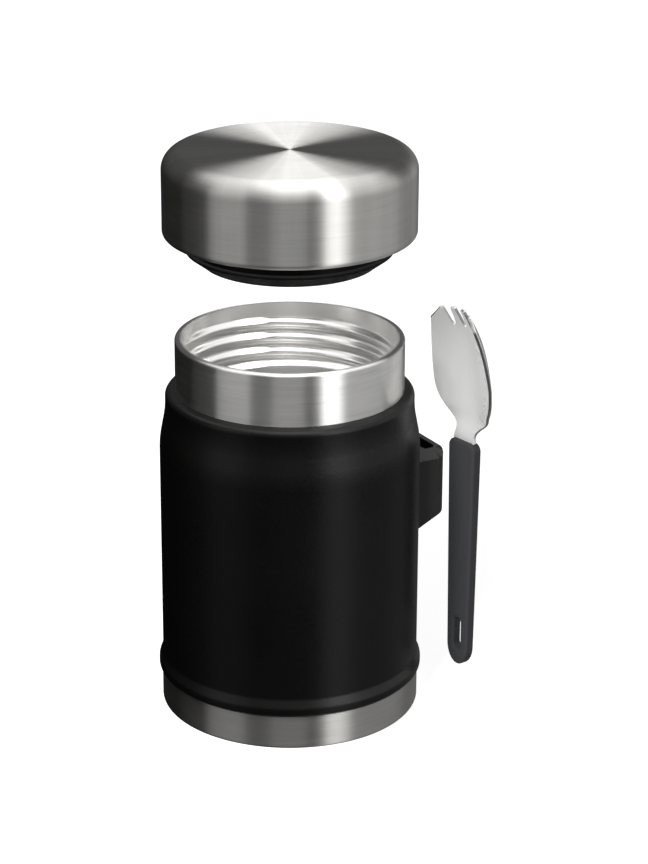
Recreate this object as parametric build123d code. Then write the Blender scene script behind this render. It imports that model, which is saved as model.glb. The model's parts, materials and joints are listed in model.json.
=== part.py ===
from build123d import *
import os
from math import cos, radians, sqrt

# Vacuum-insulated food jar with a screw-on lid, and a spork that stows in a sleeve on its side.
# Millimetres, +Z up, +X towards the sleeve, origin at the centre of the foot on the surface.
# The lid is drawn screwed off and lifted, and the spork beside its sleeve.

# ---- Driving dimensions ----
# Outer shell: painted body, bare neck and bare base cup
BODY_RADIUS = 45.8
SHELL_WALL = 0.6
BEAD_PROUD = 1.35           # the rolled bead stands this far outside the body
BEAD_FLAT = 2.9             # straight part of the bead
BEAD_SLOPE = 3.0            # height over which the bead runs back into the body
BEAD_BEND = 1.0
BEAD_TOP_BEND = 2.8
TUCK_BEND = 0.4             # bend where the body tucks into the base cup
SHOULDER_HEIGHT = 99.3      # the body starts to taper here
SHOULDER_RISE = 11.1
SHOULDER_DROP = 2.15        # radius that the taper takes off
SHOULDER_BEND = 30.0
LIP_RISE = 6.6              # from the taper's end up to the edge of the painted lip
LIP_DROP = 0.8              # fall of the lip from the neck to its edge
LIP_BEND = 2.2
NECK_RADIUS = 40.05
NECK_RISE = 18.5            # bare neck from its foot to the rim
NECK_TAIL = 4.5             # length of the neck that is welded under the lip
RIM_BEND = 0.9
BASE_HEIGHT = 12.4
BASE_PROUD = 0.25           # the base cup stands this far outside the body
BASE_WALL = 0.6
FOOT_BEND = 1.0
FOOT_WIDTH = 6.5
FOOT_RECESS = 2.0           # the middle of the base is raised by this
RECESS_BEND = 1.0

# Inner liner
LINER_WALL = 0.5
BORE_RADIUS = 37.8          # inside of the neck
LEDGE_DEPTH = 22.0          # from the rim down to the ledge
LEDGE_SLOPE = 1.6           # height of the slope from the bore to the throat
THROAT_RADIUS = 36.2
THROAT_LENGTH = 8.0
THROAT_FLARE = 3.0          # height over which the throat opens into the vessel
VESSEL_RADIUS = 38.4
VESSEL_FLOOR = 12.0         # inside of the vessel's floor above the surface
VESSEL_BEND = 9.0
LINER_BEND = 1.0
FOIL_THICKNESS = 0.2
FOIL_GAP = 4.7              # from the foil's upper edge to the throat's flare

# Screw thread: one start, right-handed
LEAD = 5.55
RIB_HEIGHT = 1.15           # rolled rib inside the neck
RIB_BASE = 4.8
RIB_DEPTH = 6.4             # from the rim down to the middle of the rib's upper end
RIB_TURNS = 2.5
RIB_END_DIRECTION = 153.0   # direction of the rib's upper end, degrees
PLUG_RIB_BASE = 2.6
PLUG_RIB_TURNS = 1.3
FADE_ANGLE = 40.0           # each rib sinks into its wall over this angle
RUN_OUT_SHARE = 0.9         # height of the cutter that fades a rib, as a share of the lead
THREAD_PLAY = 0.4           # radial play between plug and neck, at crest and root

# Lid
LID_RADIUS = 43.8
LID_HEIGHT = 29.5
LID_WALL = 0.6
LID_BEND = 6.5              # rounding round the crown
LID_HEM_BEND = 2.0
LID_HEM_WIDTH = 2.8
LID_GAP = 0.3               # between the closed lid's hem and the lip
LIFT_TURNS = 10             # whole turns from closed to the lifted place
PLUG_REACH = 9.6            # the nose reaches this far below the hem
PLUG_WALL = 1.6
FLANGE_THICKNESS = 1.8
FLANGE_PLAY = 0.7           # from the rim up to the flange when closed
NOSE_LIP = 0.6              # thin lip that holds the seal on the nose
NOSE_LIP_RADIUS = 30.4
NOSE_RADIUS = 28.8          # of the groove behind the seal
NOSE_SHOULDER_RADIUS = 34.4
SEAL_FOOT_RADIUS = 31.0     # the seal widens from this radius at its foot
SEAL_HEIGHT = 4.5
SEAL_TAPER = 3.6            # height over which it widens
SEAL_GAP = 0.3              # between the seal and the throat
SEAL_BEND = 0.35
COVER_THICKNESS = 1.6
CROWN_RING_RADIUS = 24.0    # ring on the cover that backs the crown

# Vacuum floor, its seal and the getter
VACUUM_FLOOR_HEIGHT = 5.8
VACUUM_FLOOR_WALL = 0.8
VACUUM_FLOOR_SKIRT = 2.6
VACUUM_FLOOR_BEND = 1.5
DIMPLE_RADIUS = 5.0
DIMPLE_RISE = 1.4
DIMPLE_BEND = 0.9
EVACUATION_RADIUS = 1.5
SEAL_BEAD_RADIUS = 3.5
SEAL_BEAD_THICKNESS = 1.0
GETTER_RADIUS = 4.0
GETTER_THICKNESS = 2.0
GETTER_BEND = 0.6
GETTER_OFFSET = 22.0        # from the jar's axis
CLIP_THICKNESS = 0.4
CLIP_WIDTH = 5.0
CLIP_FOOT = 3.0
CLIP_BEND = 0.5

# Sleeve on the side of the body, and what holds it
SLOT_STANDOFF = 4.8         # from the body to the slot
SLEEVE_SIDE_WALL = 3.55     # each side of the slot
SLEEVE_DROP = 11.7          # from the body's taper down to the sleeve's top
SLEEVE_LENGTH = 30.1        # height at the body
SLEEVE_RAKE = 6.0           # the underside rises by this to the outer face
SLEEVE_BEND = 3.0
SLEEVE_TOP_BEND = 1.2
SLEEVE_BEVEL_WIDTH = 4.0    # bevel along both upper sides
SLEEVE_BEVEL_DROP = 3.6
SLOT_OUTER_WALL = 2.8
SLOT_PLAY = 0.5             # each side of the handle
SLOT_BEND = 1.2
BRACKET_WIDTH = 13.0
BRACKET_HEIGHT = 16.0
BRACKET_STANDOFF = 1.1
BRACKET_THICKNESS = 1.2
BRACKET_FOOT = 2.2
BRACKET_PLAY = 0.15
SCREW_RADIUS = 1.25
SCREW_HEAD_RADIUS = 2.4
SCREW_HEAD_HEIGHT = 1.3
SCREW_TIP_GAP = 0.5         # from the screw's tip to the body
SCREW_SPACING = 8.0
SCREW_PLAY = 0.05
DRIVE_RADIUS = 1.1
DRIVE_DEPTH = 0.7

# Spork
HANDLE_LENGTH = 86.5
HANDLE_TOP_WIDTH = 13.6
HANDLE_END_WIDTH = 10.6
HANDLE_THICKNESS = 4.0
HANDLE_EDGE_BEND = 1.0
HANDLE_TOP_BEND = 3.0
HANDLE_END_RISE = 7.5       # height of the half ellipse at its free end
HANG_SLOT_WIDTH = 3.6
HANG_SLOT_LENGTH = 12.2
HANG_SLOT_END = 6.1         # from the end of the handle to the slot
HEAD_LENGTH = 49.6
HEAD_WIDTH = 29.4
NECK_WIDTH = 10.0           # narrowest place, just above the handle
ROOT_WIDTH = 11.2           # where the steel leaves the handle
BOWL_DEPTH = 4.0
BOWL_SECTION_RADIUS = 21.6  # curve across the bowl
TINE_SECTION_RADIUS = 14.0  # curve across the tines
FLAT_SECTION_RADIUS = 300.0  # curve across the root, which is nearly flat
SPORK_SHEET = 1.2
TANG_LENGTH = 22.0
TANG_WIDTH = 8.0
TANG_SHEET = 1.1            # the tang is ground a little thinner than the head
TANG_PLAY = 0.02
TINE_COUNT = 4
TINE_PITCH = 5.0
TINE_LENGTH = 6.6
TINE_SLOT_ROOT = 1.6
TINE_SLOT_MOUTH = 2.9
TINE_END_WIDTH = 15.4       # across the outer tines' tips
TINE_CROWN_WIDTH = 7.2      # across the inner tines' level tips
TINE_OUTER_DROP = 0.9       # the outer tips lie this far under the inner ones
TINE_SHOULDER_WIDTH = 22.9  # across the outer tines' shoulders
TINE_SHOULDER_DROP = 5.4    # from the inner tips down to the shoulders
SPORK_STANDOFF = 8.1        # from the body to the spork's axis, along X, where it stands
SPORK_Y = -29.9             # and along Y
SPORK_TURN = 9.0            # turned this far from its stowed direction, degrees
SPORK_HEIGHT = 11.3         # its lower end above the surface

# Gap between formed parts that are pressed together on curved faces
PRESS_GAP = 0.05

# Middle line of the spork's head, as shares of its length and of the bowl's depth
BOWL_LINE = [
    (0.0, 0.0), (0.03, 0.0), (0.1, 0.41), (0.2, 0.765), (0.31, 0.935),
    (0.45, 0.91), (0.62, 0.685), (0.8, 0.12), (0.92, -0.575), (1.02, -1.315),
]
# Side of the head above its neck, as shares of its length and of the half width
HEAD_SIDE = [(0.15, 0.615), (0.2, 0.74), (0.27, 0.89), (0.38, 0.995), (0.57, 0.99), (0.76, 0.892)]
NECK_SHARE = 0.065          # height of the narrowest place as a share of the head
BOWL_FROM_SHARE = 0.03      # the section starts to curve here
BOWL_FULL_SHARE = 0.25      # and has its full curve from here up
TINE_FROM_SHARE = 0.45      # the curve starts to tighten towards the tines here
TINE_FULL_SHARE = 0.92      # and is as tight as they are from here up
SECTION_SHARE = 0.93        # half a section's width, as a share of its radius at most

# ---- Derived places ----
NECK_FOOT = SHOULDER_HEIGHT + SHOULDER_RISE + LIP_RISE + LIP_DROP  # top of the painted lip
RIM = NECK_FOOT + NECK_RISE
LIP_RADIUS = BODY_RADIUS - SHOULDER_DROP
BEAD_RADIUS = BODY_RADIUS + BEAD_PROUD
BEAD_FOOT = BASE_HEIGHT + PRESS_GAP + TUCK_BEND
BASE_RADIUS = BODY_RADIUS + BASE_PROUD
TUCK_RADIUS = BASE_RADIUS - BASE_WALL - PRESS_GAP
SHELL_END = VACUUM_FLOOR_HEIGHT - VACUUM_FLOOR_SKIRT
LEDGE = RIM - LEDGE_DEPTH
THROAT = LEDGE - LEDGE_SLOPE
FLARE = THROAT - THROAT_LENGTH - THROAT_FLARE
VESSEL_OUTER = VESSEL_RADIUS + LINER_WALL
LIFT = LIFT_TURNS * LEAD
HEM = NECK_FOOT + LID_GAP
LID_INNER = LID_RADIUS - LID_WALL
CROWN = HEM + LID_HEIGHT
NOSE = HEM - PLUG_REACH
SEAL_FOOT = NOSE + NOSE_LIP
SEAL_TOP = SEAL_FOOT + SEAL_HEIGHT
PLUG_RADIUS = BORE_RADIUS - RIB_HEIGHT - THREAD_PLAY
FLANGE = RIM + FLANGE_PLAY
COVER = FLANGE + FLANGE_THICKNESS
SLOT_INNER = BODY_RADIUS + SLOT_STANDOFF
SLOT_OUTER = SLOT_INNER + HANDLE_THICKNESS + 2 * SLOT_PLAY
SLOT_HALF_WIDTH = HANDLE_TOP_WIDTH / 2 + SLOT_PLAY
SLEEVE_REACH = SLOT_OUTER + SLOT_OUTER_WALL
SLEEVE_HALF_WIDTH = SLOT_HALF_WIDTH + SLEEVE_SIDE_WALL
SLEEVE_TOP = SHOULDER_HEIGHT - SLEEVE_DROP
SLEEVE_FOOT = SLEEVE_TOP - SLEEVE_LENGTH
BRACKET_INNER = BODY_RADIUS + BRACKET_STANDOFF
BRACKET_OUTER = BRACKET_INNER + BRACKET_THICKNESS
BRACKET_MIDDLE = (SLEEVE_FOOT + SLEEVE_TOP) / 2
SPORK_PLACE = Pos(BODY_RADIUS + SPORK_STANDOFF, SPORK_Y, SPORK_HEIGHT) * Rot(0, 0, SPORK_TURN)
FAR = 4 * BODY_RADIUS       # longer than anything it cuts


# ---- Helpers ----
def turned(face):
    """The solid that a face drawn in (radius, height) makes round the jar's axis."""
    return revolve(Plane.XZ * face, Axis.Z)


def band(points, bends, wall):
    """The section of a bent sheet: its wall lies on the left of the line through the points."""
    return make_face(FilletPolyline(*points, radius=bends).wire().offset_2d(wall, side=Side.LEFT).edges())


def tube(outer, inner, low, high):
    """A plain tube between two heights."""
    return turned(make_face(Polyline((inner, low), (outer, low), (outer, high), (inner, high), close=True)))


def disc(radius, low, high):
    """A plain disc between two heights."""
    return Pos(0, 0, low) * Cylinder(radius, high - low, align=(Align.CENTER, Align.CENTER, Align.MIN))


def block(low, high):
    """A box between two corners."""
    size = [b - a for a, b in zip(low, high)]
    middle = [(a + b) / 2 for a, b in zip(low, high)]
    return Pos(*middle) * Box(*size)


def run_out(wall, height):
    """The cutter that sinks a rib's end into its wall: a round one, set off the axis."""
    offset = abs(height) / (1 - cos(radians(FADE_ANGLE)))
    tall = RUN_OUT_SHARE * LEAD
    if height < 0:
        return Pos(offset, 0, 0) * Cylinder(wall + PRESS_GAP - offset, tall)
    return Cylinder(2 * wall, tall) - Pos(-offset, 0, 0) * Cylinder(wall - PRESS_GAP + offset, tall)


def rib(wall, height, base, turns, top, top_direction, embed):
    """A rounded right-hand rib on a wall, from its upper end down; height is negative inside a bore."""
    side = 1 if height > 0 else -1
    half = side * base / 2
    root = wall - side * embed
    foot = Line((root, half), (root, -half))
    crest = ThreePointArc((root, -half), (wall + height, 0), (root, half))
    path = Helix(pitch=LEAD, height=turns * LEAD, radius=wall)
    body = sweep(Plane.XZ * make_face([foot, crest]), path=path, is_frenet=True)
    for turn in (0, turns):
        body -= Rot(0, 0, 360 * turn) * Pos(0, 0, turn * LEAD) * run_out(wall, height)
    return Pos(0, 0, top - turns * LEAD) * Rot(0, 0, top_direction - 360 * turns) * body


def save(node, shape):
    """Writes one node, which may hold several separate solids."""
    solids = shape.solids()
    part = solids[0] if len(solids) == 1 else Compound(children=list(solids))
    part.label = node
    export_step(part, f"parts/{node}.step")


# ---- Jar ----
def body_shell():
    # The lip's cut end leans with its slope, so it stops short of the neck by that much
    lip_lean = SHELL_WALL * LIP_DROP / (LIP_RADIUS - NECK_RADIUS)
    points = [
        (TUCK_RADIUS, SHELL_END),
        (TUCK_RADIUS, BEAD_FOOT),
        (BEAD_RADIUS, BEAD_FOOT),
        (BEAD_RADIUS, BEAD_FOOT + BEAD_FLAT),
        (BODY_RADIUS, BEAD_FOOT + BEAD_FLAT + BEAD_SLOPE),
        (BODY_RADIUS, SHOULDER_HEIGHT),
        (LIP_RADIUS, SHOULDER_HEIGHT + SHOULDER_RISE),
        (LIP_RADIUS, NECK_FOOT - LIP_DROP),
        (NECK_RADIUS + PRESS_GAP + lip_lean, NECK_FOOT),
    ]
    bends = [TUCK_BEND, BEAD_BEND, BEAD_TOP_BEND, BEAD_TOP_BEND, SHOULDER_BEND, SHOULDER_BEND, LIP_BEND]
    return turned(band(points, bends, SHELL_WALL))


def neck_band():
    points = [
        (NECK_RADIUS, NECK_FOOT - NECK_TAIL),
        (NECK_RADIUS, RIM),
        (BORE_RADIUS + LINER_WALL + PRESS_GAP, RIM),
    ]
    return turned(band(points, RIM_BEND, SHELL_WALL))


def base_cup():
    foot_inner = BASE_RADIUS - FOOT_WIDTH
    points = [
        (0, FOOT_RECESS),
        (foot_inner - FOOT_RECESS, FOOT_RECESS),
        (foot_inner, 0),
        (BASE_RADIUS, 0),
        (BASE_RADIUS, BASE_HEIGHT),
    ]
    return turned(band(points, [RECESS_BEND, RECESS_BEND, FOOT_BEND], BASE_WALL))


def inner_liner():
    points = [
        (BORE_RADIUS, RIM),
        (BORE_RADIUS, LEDGE),
        (THROAT_RADIUS, THROAT),
        (THROAT_RADIUS, THROAT - THROAT_LENGTH),
        (VESSEL_RADIUS, FLARE),
        (VESSEL_RADIUS, VESSEL_FLOOR),
        (0, VESSEL_FLOOR),
    ]
    bends = [LINER_BEND] * 4 + [VESSEL_BEND]
    top = RIM - RIB_DEPTH
    thread = rib(BORE_RADIUS, -RIB_HEIGHT, RIB_BASE, RIB_TURNS, top, RIB_END_DIRECTION, LINER_WALL / 2)
    return turned(band(points, bends, LINER_WALL)) + thread


def liner_foil():
    inner = VESSEL_OUTER + PRESS_GAP
    return tube(inner + FOIL_THICKNESS, inner, VESSEL_FLOOR + VESSEL_BEND, FLARE - FOIL_GAP)


def vacuum_floor():
    radius = TUCK_RADIUS - SHELL_WALL - PRESS_GAP
    points = [
        (radius, SHELL_END),
        (radius, VACUUM_FLOOR_HEIGHT),
        (DIMPLE_RADIUS + DIMPLE_RISE, VACUUM_FLOOR_HEIGHT),
        (DIMPLE_RADIUS, VACUUM_FLOOR_HEIGHT + DIMPLE_RISE),
        (EVACUATION_RADIUS, VACUUM_FLOOR_HEIGHT + DIMPLE_RISE),
    ]
    return turned(band(points, [VACUUM_FLOOR_BEND, DIMPLE_BEND, DIMPLE_BEND], VACUUM_FLOOR_WALL))


def vacuum_seal():
    top = VACUUM_FLOOR_HEIGHT + DIMPLE_RISE - VACUUM_FLOOR_WALL
    bead = disc(SEAL_BEAD_RADIUS, top - SEAL_BEAD_THICKNESS, top)
    return fillet(bead.edges().group_by(Axis.Z)[0], SEAL_BEAD_THICKNESS / 2)


def getter():
    pill = disc(GETTER_RADIUS, VACUUM_FLOOR_HEIGHT, VACUUM_FLOOR_HEIGHT + GETTER_THICKNESS)
    pill = fillet(pill.edges().group_by(Axis.Z)[-1], GETTER_BEND)
    return Pos(GETTER_OFFSET, 0, 0) * pill


def getter_clip():
    side = GETTER_RADIUS + PRESS_GAP
    points = [
        (side + CLIP_FOOT, 0),
        (side, 0),
        (side, GETTER_THICKNESS),
        (-side, GETTER_THICKNESS),
        (-side, 0),
        (-side - CLIP_FOOT, 0),
    ]
    outer_bend = CLIP_BEND + CLIP_THICKNESS
    line = FilletPolyline(*points, radius=[outer_bend, CLIP_BEND, CLIP_BEND, outer_bend])
    strip = make_face(line.wire().offset_2d(CLIP_THICKNESS, side=Side.RIGHT).edges())
    return Pos(GETTER_OFFSET, 0, VACUUM_FLOOR_HEIGHT) * extrude(Plane.XZ * strip, CLIP_WIDTH / 2, both=True)


# ---- Lid, drawn closed ----
def lid_shell():
    points = [(LID_RADIUS - LID_HEM_WIDTH, HEM), (LID_RADIUS, HEM), (LID_RADIUS, CROWN), (0, CROWN)]
    return turned(band(points, [LID_HEM_BEND, LID_BEND], LID_WALL))


def plug_hollow(play):
    """The foam's space inside the plug."""
    nose = disc(NOSE_RADIUS - PLUG_WALL - play, NOSE + PLUG_WALL, SEAL_TOP + PLUG_WALL)
    shoulder = disc(NOSE_SHOULDER_RADIUS - PLUG_WALL - play, SEAL_TOP + PLUG_WALL, HEM + PLUG_WALL)
    return nose + shoulder + disc(PLUG_RADIUS - PLUG_WALL - play, HEM + PLUG_WALL, COVER)


def lid_plug():
    outline = [
        (0, NOSE),
        (NOSE_LIP_RADIUS, NOSE),
        (NOSE_LIP_RADIUS, SEAL_FOOT),
        (NOSE_RADIUS, SEAL_FOOT),
        (NOSE_RADIUS, SEAL_TOP),
        (NOSE_SHOULDER_RADIUS, SEAL_TOP),
        (NOSE_SHOULDER_RADIUS, HEM),
        (PLUG_RADIUS, HEM + PLUG_RADIUS - NOSE_SHOULDER_RADIUS),
        (PLUG_RADIUS, FLANGE),
        (LID_INNER - PRESS_GAP, FLANGE),
        (LID_INNER - PRESS_GAP, COVER),
        (0, COVER),
    ]
    # The plug's rib runs midway between two turns of the neck's rib
    top = RIM - RIB_DEPTH + LEAD / 2
    height = BORE_RADIUS - THREAD_PLAY - PLUG_RADIUS
    thread = rib(PLUG_RADIUS, height, PLUG_RIB_BASE, PLUG_RIB_TURNS, top, RIB_END_DIRECTION, PLUG_WALL / 2)
    return turned(make_face(Polyline(*outline, close=True))) - plug_hollow(0) + thread


def lid_core():
    return plug_hollow(PRESS_GAP)


def lid_seal():
    inner = NOSE_RADIUS + PRESS_GAP
    outer = THROAT_RADIUS - SEAL_GAP
    low = SEAL_FOOT + PRESS_GAP
    high = SEAL_TOP - PRESS_GAP
    points = [
        (inner, low),
        (SEAL_FOOT_RADIUS, low),
        (outer, low + SEAL_TAPER),
        (outer, high),
        (inner, high),
    ]
    skin = FilletPolyline(*points, radius=SEAL_BEND)
    return turned(make_face([*skin.edges(), Line((inner, high), (inner, low))]))


def lid_cover():
    plate = disc(LID_INNER - PRESS_GAP, COVER, COVER + COVER_THICKNESS)
    return plate + tube(CROWN_RING_RADIUS, CROWN_RING_RADIUS - COVER_THICKNESS, COVER, CROWN - LID_WALL)


# ---- Sleeve ----
def screw_places():
    return [Pos(0, 0, BRACKET_MIDDLE + side * SCREW_SPACING / 2) for side in (-1, 1)]


def screw(play):
    """One countersunk screw along -X, its head flush with the slot's inner face."""
    tip = BODY_RADIUS + SCREW_TIP_GAP
    head_radius = SCREW_HEAD_RADIUS + play
    shank_radius = SCREW_RADIUS + play
    neck = SLOT_INNER - SCREW_HEAD_HEIGHT
    profile = [
        (tip, 0),
        (tip, shank_radius),
        (neck, shank_radius),
        (SLOT_INNER, head_radius),
        (SLOT_INNER, 0),
    ]
    return revolve(make_face(Polyline(*profile, close=True)), Axis.X)


def sleeve_screws():
    socket = Plane.YZ * RegularPolygon(DRIVE_RADIUS, 6)
    drive = Pos(SLOT_INNER - DRIVE_DEPTH, 0, 0) * extrude(socket, 2 * DRIVE_DEPTH)
    one = screw(0) - drive
    return Compound(children=[place * one for place in screw_places()])


def bracket_block(play):
    half = BRACKET_WIDTH / 2 + play
    tall = BRACKET_HEIGHT / 2 + play
    return block(
        (0, -half, BRACKET_MIDDLE - tall),
        (BRACKET_OUTER + play, half, BRACKET_MIDDLE + tall),
    )


def sleeve_bracket():
    channel_half = BRACKET_WIDTH / 2 - BRACKET_FOOT
    bracket = bracket_block(0) - disc(BODY_RADIUS + PRESS_GAP, 0, FAR)
    bracket -= block((0, -channel_half, 0), (BRACKET_INNER, channel_half, FAR))
    for place in screw_places():
        bracket -= place * screw(SCREW_PLAY)
    return bracket


def spork_sleeve():
    side = FilletPolyline(
        (0, SLEEVE_FOOT - SLEEVE_RAKE * BODY_RADIUS / (SLEEVE_REACH - BODY_RADIUS)),
        (SLEEVE_REACH, SLEEVE_FOOT + SLEEVE_RAKE),
        (SLEEVE_REACH, SLEEVE_TOP),
        (0, SLEEVE_TOP),
        radius=[SLEEVE_BEND, SLEEVE_TOP_BEND],
    )
    side_face = make_face([*side.edges(), Line(side @ 1, side @ 0)])
    plan = FilletPolyline(
        (0, -SLEEVE_HALF_WIDTH),
        (SLEEVE_REACH, -SLEEVE_HALF_WIDTH),
        (SLEEVE_REACH, SLEEVE_HALF_WIDTH),
        (0, SLEEVE_HALF_WIDTH),
        radius=SLEEVE_BEND,
    )
    plan_face = make_face([*plan.edges(), Line(plan @ 1, plan @ 0)])
    front = Polyline(
        (-SLEEVE_HALF_WIDTH, 0),
        (SLEEVE_HALF_WIDTH, 0),
        (SLEEVE_HALF_WIDTH, SLEEVE_TOP - SLEEVE_BEVEL_DROP),
        (SLEEVE_HALF_WIDTH - SLEEVE_BEVEL_WIDTH, SLEEVE_TOP),
        (SLEEVE_BEVEL_WIDTH - SLEEVE_HALF_WIDTH, SLEEVE_TOP),
        (-SLEEVE_HALF_WIDTH, SLEEVE_TOP - SLEEVE_BEVEL_DROP),
        close=True,
    )
    sleeve = extrude(Plane.XZ * side_face, SLEEVE_HALF_WIDTH, both=True)
    sleeve &= extrude(plan_face, FAR)
    sleeve &= extrude(Plane.YZ * make_face(front), FAR)
    sleeve -= disc(BODY_RADIUS + PRESS_GAP, 0, FAR)
    slot = Pos((SLOT_INNER + SLOT_OUTER) / 2, 0) * RectangleRounded(
        SLOT_OUTER - SLOT_INNER, 2 * SLOT_HALF_WIDTH, SLOT_BEND
    )
    sleeve -= extrude(slot, FAR)
    sleeve -= bracket_block(BRACKET_PLAY)
    for place in screw_places():
        sleeve -= place * screw(SCREW_PLAY)
    return sleeve


# ---- Spork, drawn with its lower end at the origin and its bowl open towards -X, then placed ----
def bowl_section(height, depth, radius):
    """The sheet's section across the head: an arc of even wall."""
    half = min(HEAD_WIDTH / 2 + SPORK_SHEET, SECTION_SHARE * radius)
    rise = SPORK_SHEET / 2

    def arc(middle, bend):
        drop = bend - sqrt(bend**2 - half**2)
        return (middle - drop, half), (middle, 0), (middle - drop, -half)

    inner = arc(depth - rise, radius)
    outer = arc(depth + rise, radius)
    edges = [
        ThreePointArc(*inner),
        Line(inner[2], outer[2]),
        ThreePointArc(*reversed(outer)),
        Line(outer[0], inner[0]),
    ]
    return Pos(0, 0, height) * make_face(edges)


def head_outline():
    """The head's outline in the plane across the spork, with its tines."""
    top = HANDLE_LENGTH + HEAD_LENGTH
    side = [
        (ROOT_WIDTH / 2, HANDLE_LENGTH),
        (NECK_WIDTH / 2, HANDLE_LENGTH + NECK_SHARE * HEAD_LENGTH),
        *[(width * HEAD_WIDTH / 2, HANDLE_LENGTH + height * HEAD_LENGTH) for height, width in HEAD_SIDE],
        (TINE_SHOULDER_WIDTH / 2, top - TINE_SHOULDER_DROP),
    ]
    right = Spline(*side)
    left = Spline(*[(-y, z) for y, z in side])
    tips = [side[-1], (TINE_END_WIDTH / 2, top - TINE_OUTER_DROP), (TINE_CROWN_WIDTH / 2, top)]
    crown = Polyline(*tips, *[(-y, z) for y, z in reversed(tips)])
    outline = make_face([right, *crown.edges(), left, Line(left @ 0, right @ 0)])
    root = top - TINE_LENGTH
    above = top + TINE_SLOT_MOUTH
    for index in range(TINE_COUNT - 1):
        middle = (index - (TINE_COUNT - 2) / 2) * TINE_PITCH
        slot = make_face(
            Polyline(
                (middle - TINE_SLOT_ROOT / 2, root),
                (middle + TINE_SLOT_ROOT / 2, root),
                (middle + TINE_SLOT_MOUTH / 2, top),
                (middle + TINE_SLOT_MOUTH / 2, above),
                (middle - TINE_SLOT_MOUTH / 2, above),
                (middle - TINE_SLOT_MOUTH / 2, top),
                close=True,
            )
        )
        outline -= slot
        outline -= Pos(middle, root) * Circle(TINE_SLOT_ROOT / 2)
    return outline


def spork_head():
    stations = []
    for height, depth in BOWL_LINE:
        flat = 1 - min(1, max(0, (height - BOWL_FROM_SHARE) / (BOWL_FULL_SHARE - BOWL_FROM_SHARE)))
        tight = min(1, max(0, (height - TINE_FROM_SHARE) / (TINE_FULL_SHARE - TINE_FROM_SHARE)))
        radius = BOWL_SECTION_RADIUS + (TINE_SECTION_RADIUS - BOWL_SECTION_RADIUS) * tight
        radius += (FLAT_SECTION_RADIUS - radius) * flat**3
        stations.append(bowl_section(HANDLE_LENGTH + height * HEAD_LENGTH, depth * BOWL_DEPTH, radius))
    bowl_sheet = SPORK_PLACE * loft(stations)
    head = bowl_sheet & (SPORK_PLACE * extrude(Plane.YZ * head_outline(), HEAD_WIDTH, both=True))
    tang = block(
        (-TANG_SHEET / 2, -TANG_WIDTH / 2, HANDLE_LENGTH - TANG_LENGTH),
        (TANG_SHEET / 2, TANG_WIDTH / 2, HANDLE_LENGTH),
    )
    return head + SPORK_PLACE * tang


def spork_handle():
    half_top = HANDLE_TOP_WIDTH / 2
    half_end = HANDLE_END_WIDTH / 2
    end = EllipticalCenterArc((0, HANDLE_END_RISE), half_end, HANDLE_END_RISE, 180, arc_size=180)
    sides = FilletPolyline(
        end @ 1,
        (half_top, HANDLE_LENGTH),
        (-half_top, HANDLE_LENGTH),
        end @ 0,
        radius=HANDLE_TOP_BEND,
    )
    outline = make_face([*end.edges(), *sides.edges()])
    handle = extrude(Plane.YZ * outline, HANDLE_THICKNESS / 2, both=True)
    hang = Rot(0, 0, 90) * SlotOverall(HANG_SLOT_LENGTH, HANG_SLOT_WIDTH)
    hang = Pos(0, HANG_SLOT_END + HANG_SLOT_LENGTH / 2) * hang
    handle -= extrude(Plane.YZ * hang, HANDLE_THICKNESS, both=True)
    rims = handle.faces().filter_by(Axis.X).edges()
    handle = fillet(rims, HANDLE_EDGE_BEND)
    half = TANG_SHEET / 2 + TANG_PLAY
    pocket = block(
        (-half, -TANG_WIDTH / 2 - TANG_PLAY, HANDLE_LENGTH - TANG_LENGTH - TANG_PLAY),
        (half, TANG_WIDTH / 2 + TANG_PLAY, HANDLE_LENGTH),
    )
    return SPORK_PLACE * (handle - pocket)


# ---- Write the nodes ----
os.makedirs("parts", exist_ok=True)

for make in (
    body_shell, neck_band, base_cup, inner_liner, liner_foil, vacuum_floor, vacuum_seal,
    getter, getter_clip, sleeve_bracket, sleeve_screws, spork_sleeve,
):
    save(make.__name__, make())

for make in (lid_shell, lid_plug, lid_core, lid_cover, lid_seal):
    save(make.__name__, Pos(0, 0, LIFT) * make())

for make in (spork_head, spork_handle):
    save(make.__name__, make())
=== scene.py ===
import json
from math import ceil, cos, pi, radians, sin, sqrt, tan

import bmesh
import bpy
import numpy as np
from bpy.props import FloatProperty, FloatVectorProperty, PointerProperty
from mathutils import Matrix, Vector


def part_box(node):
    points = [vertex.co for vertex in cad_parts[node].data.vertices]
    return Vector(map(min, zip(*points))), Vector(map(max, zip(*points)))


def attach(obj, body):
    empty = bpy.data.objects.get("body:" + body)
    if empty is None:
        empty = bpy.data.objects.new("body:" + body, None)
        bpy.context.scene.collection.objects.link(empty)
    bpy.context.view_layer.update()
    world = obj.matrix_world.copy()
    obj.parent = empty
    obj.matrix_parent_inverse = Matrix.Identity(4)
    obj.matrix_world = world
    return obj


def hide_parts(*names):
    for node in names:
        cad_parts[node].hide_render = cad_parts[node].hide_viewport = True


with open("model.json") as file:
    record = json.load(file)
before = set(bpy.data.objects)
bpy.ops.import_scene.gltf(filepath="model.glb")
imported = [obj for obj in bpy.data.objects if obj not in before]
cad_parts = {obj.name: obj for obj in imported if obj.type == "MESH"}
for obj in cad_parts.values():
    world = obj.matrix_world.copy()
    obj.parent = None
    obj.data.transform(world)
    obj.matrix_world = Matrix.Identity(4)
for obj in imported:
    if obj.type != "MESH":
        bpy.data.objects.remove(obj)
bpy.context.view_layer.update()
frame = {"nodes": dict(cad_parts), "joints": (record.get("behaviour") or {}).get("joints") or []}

bl_info = {
    "name": "Food Jar with Spork",
    "version": (1, 0, 0),
    "blender": (4, 5, 0),
    "location": "3D View > Sidebar > Food Jar",
    "description": "Dresses an insulated food jar with its lid and spork, and sets up a studio for them",
    "category": "Add Mesh",
}

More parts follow.
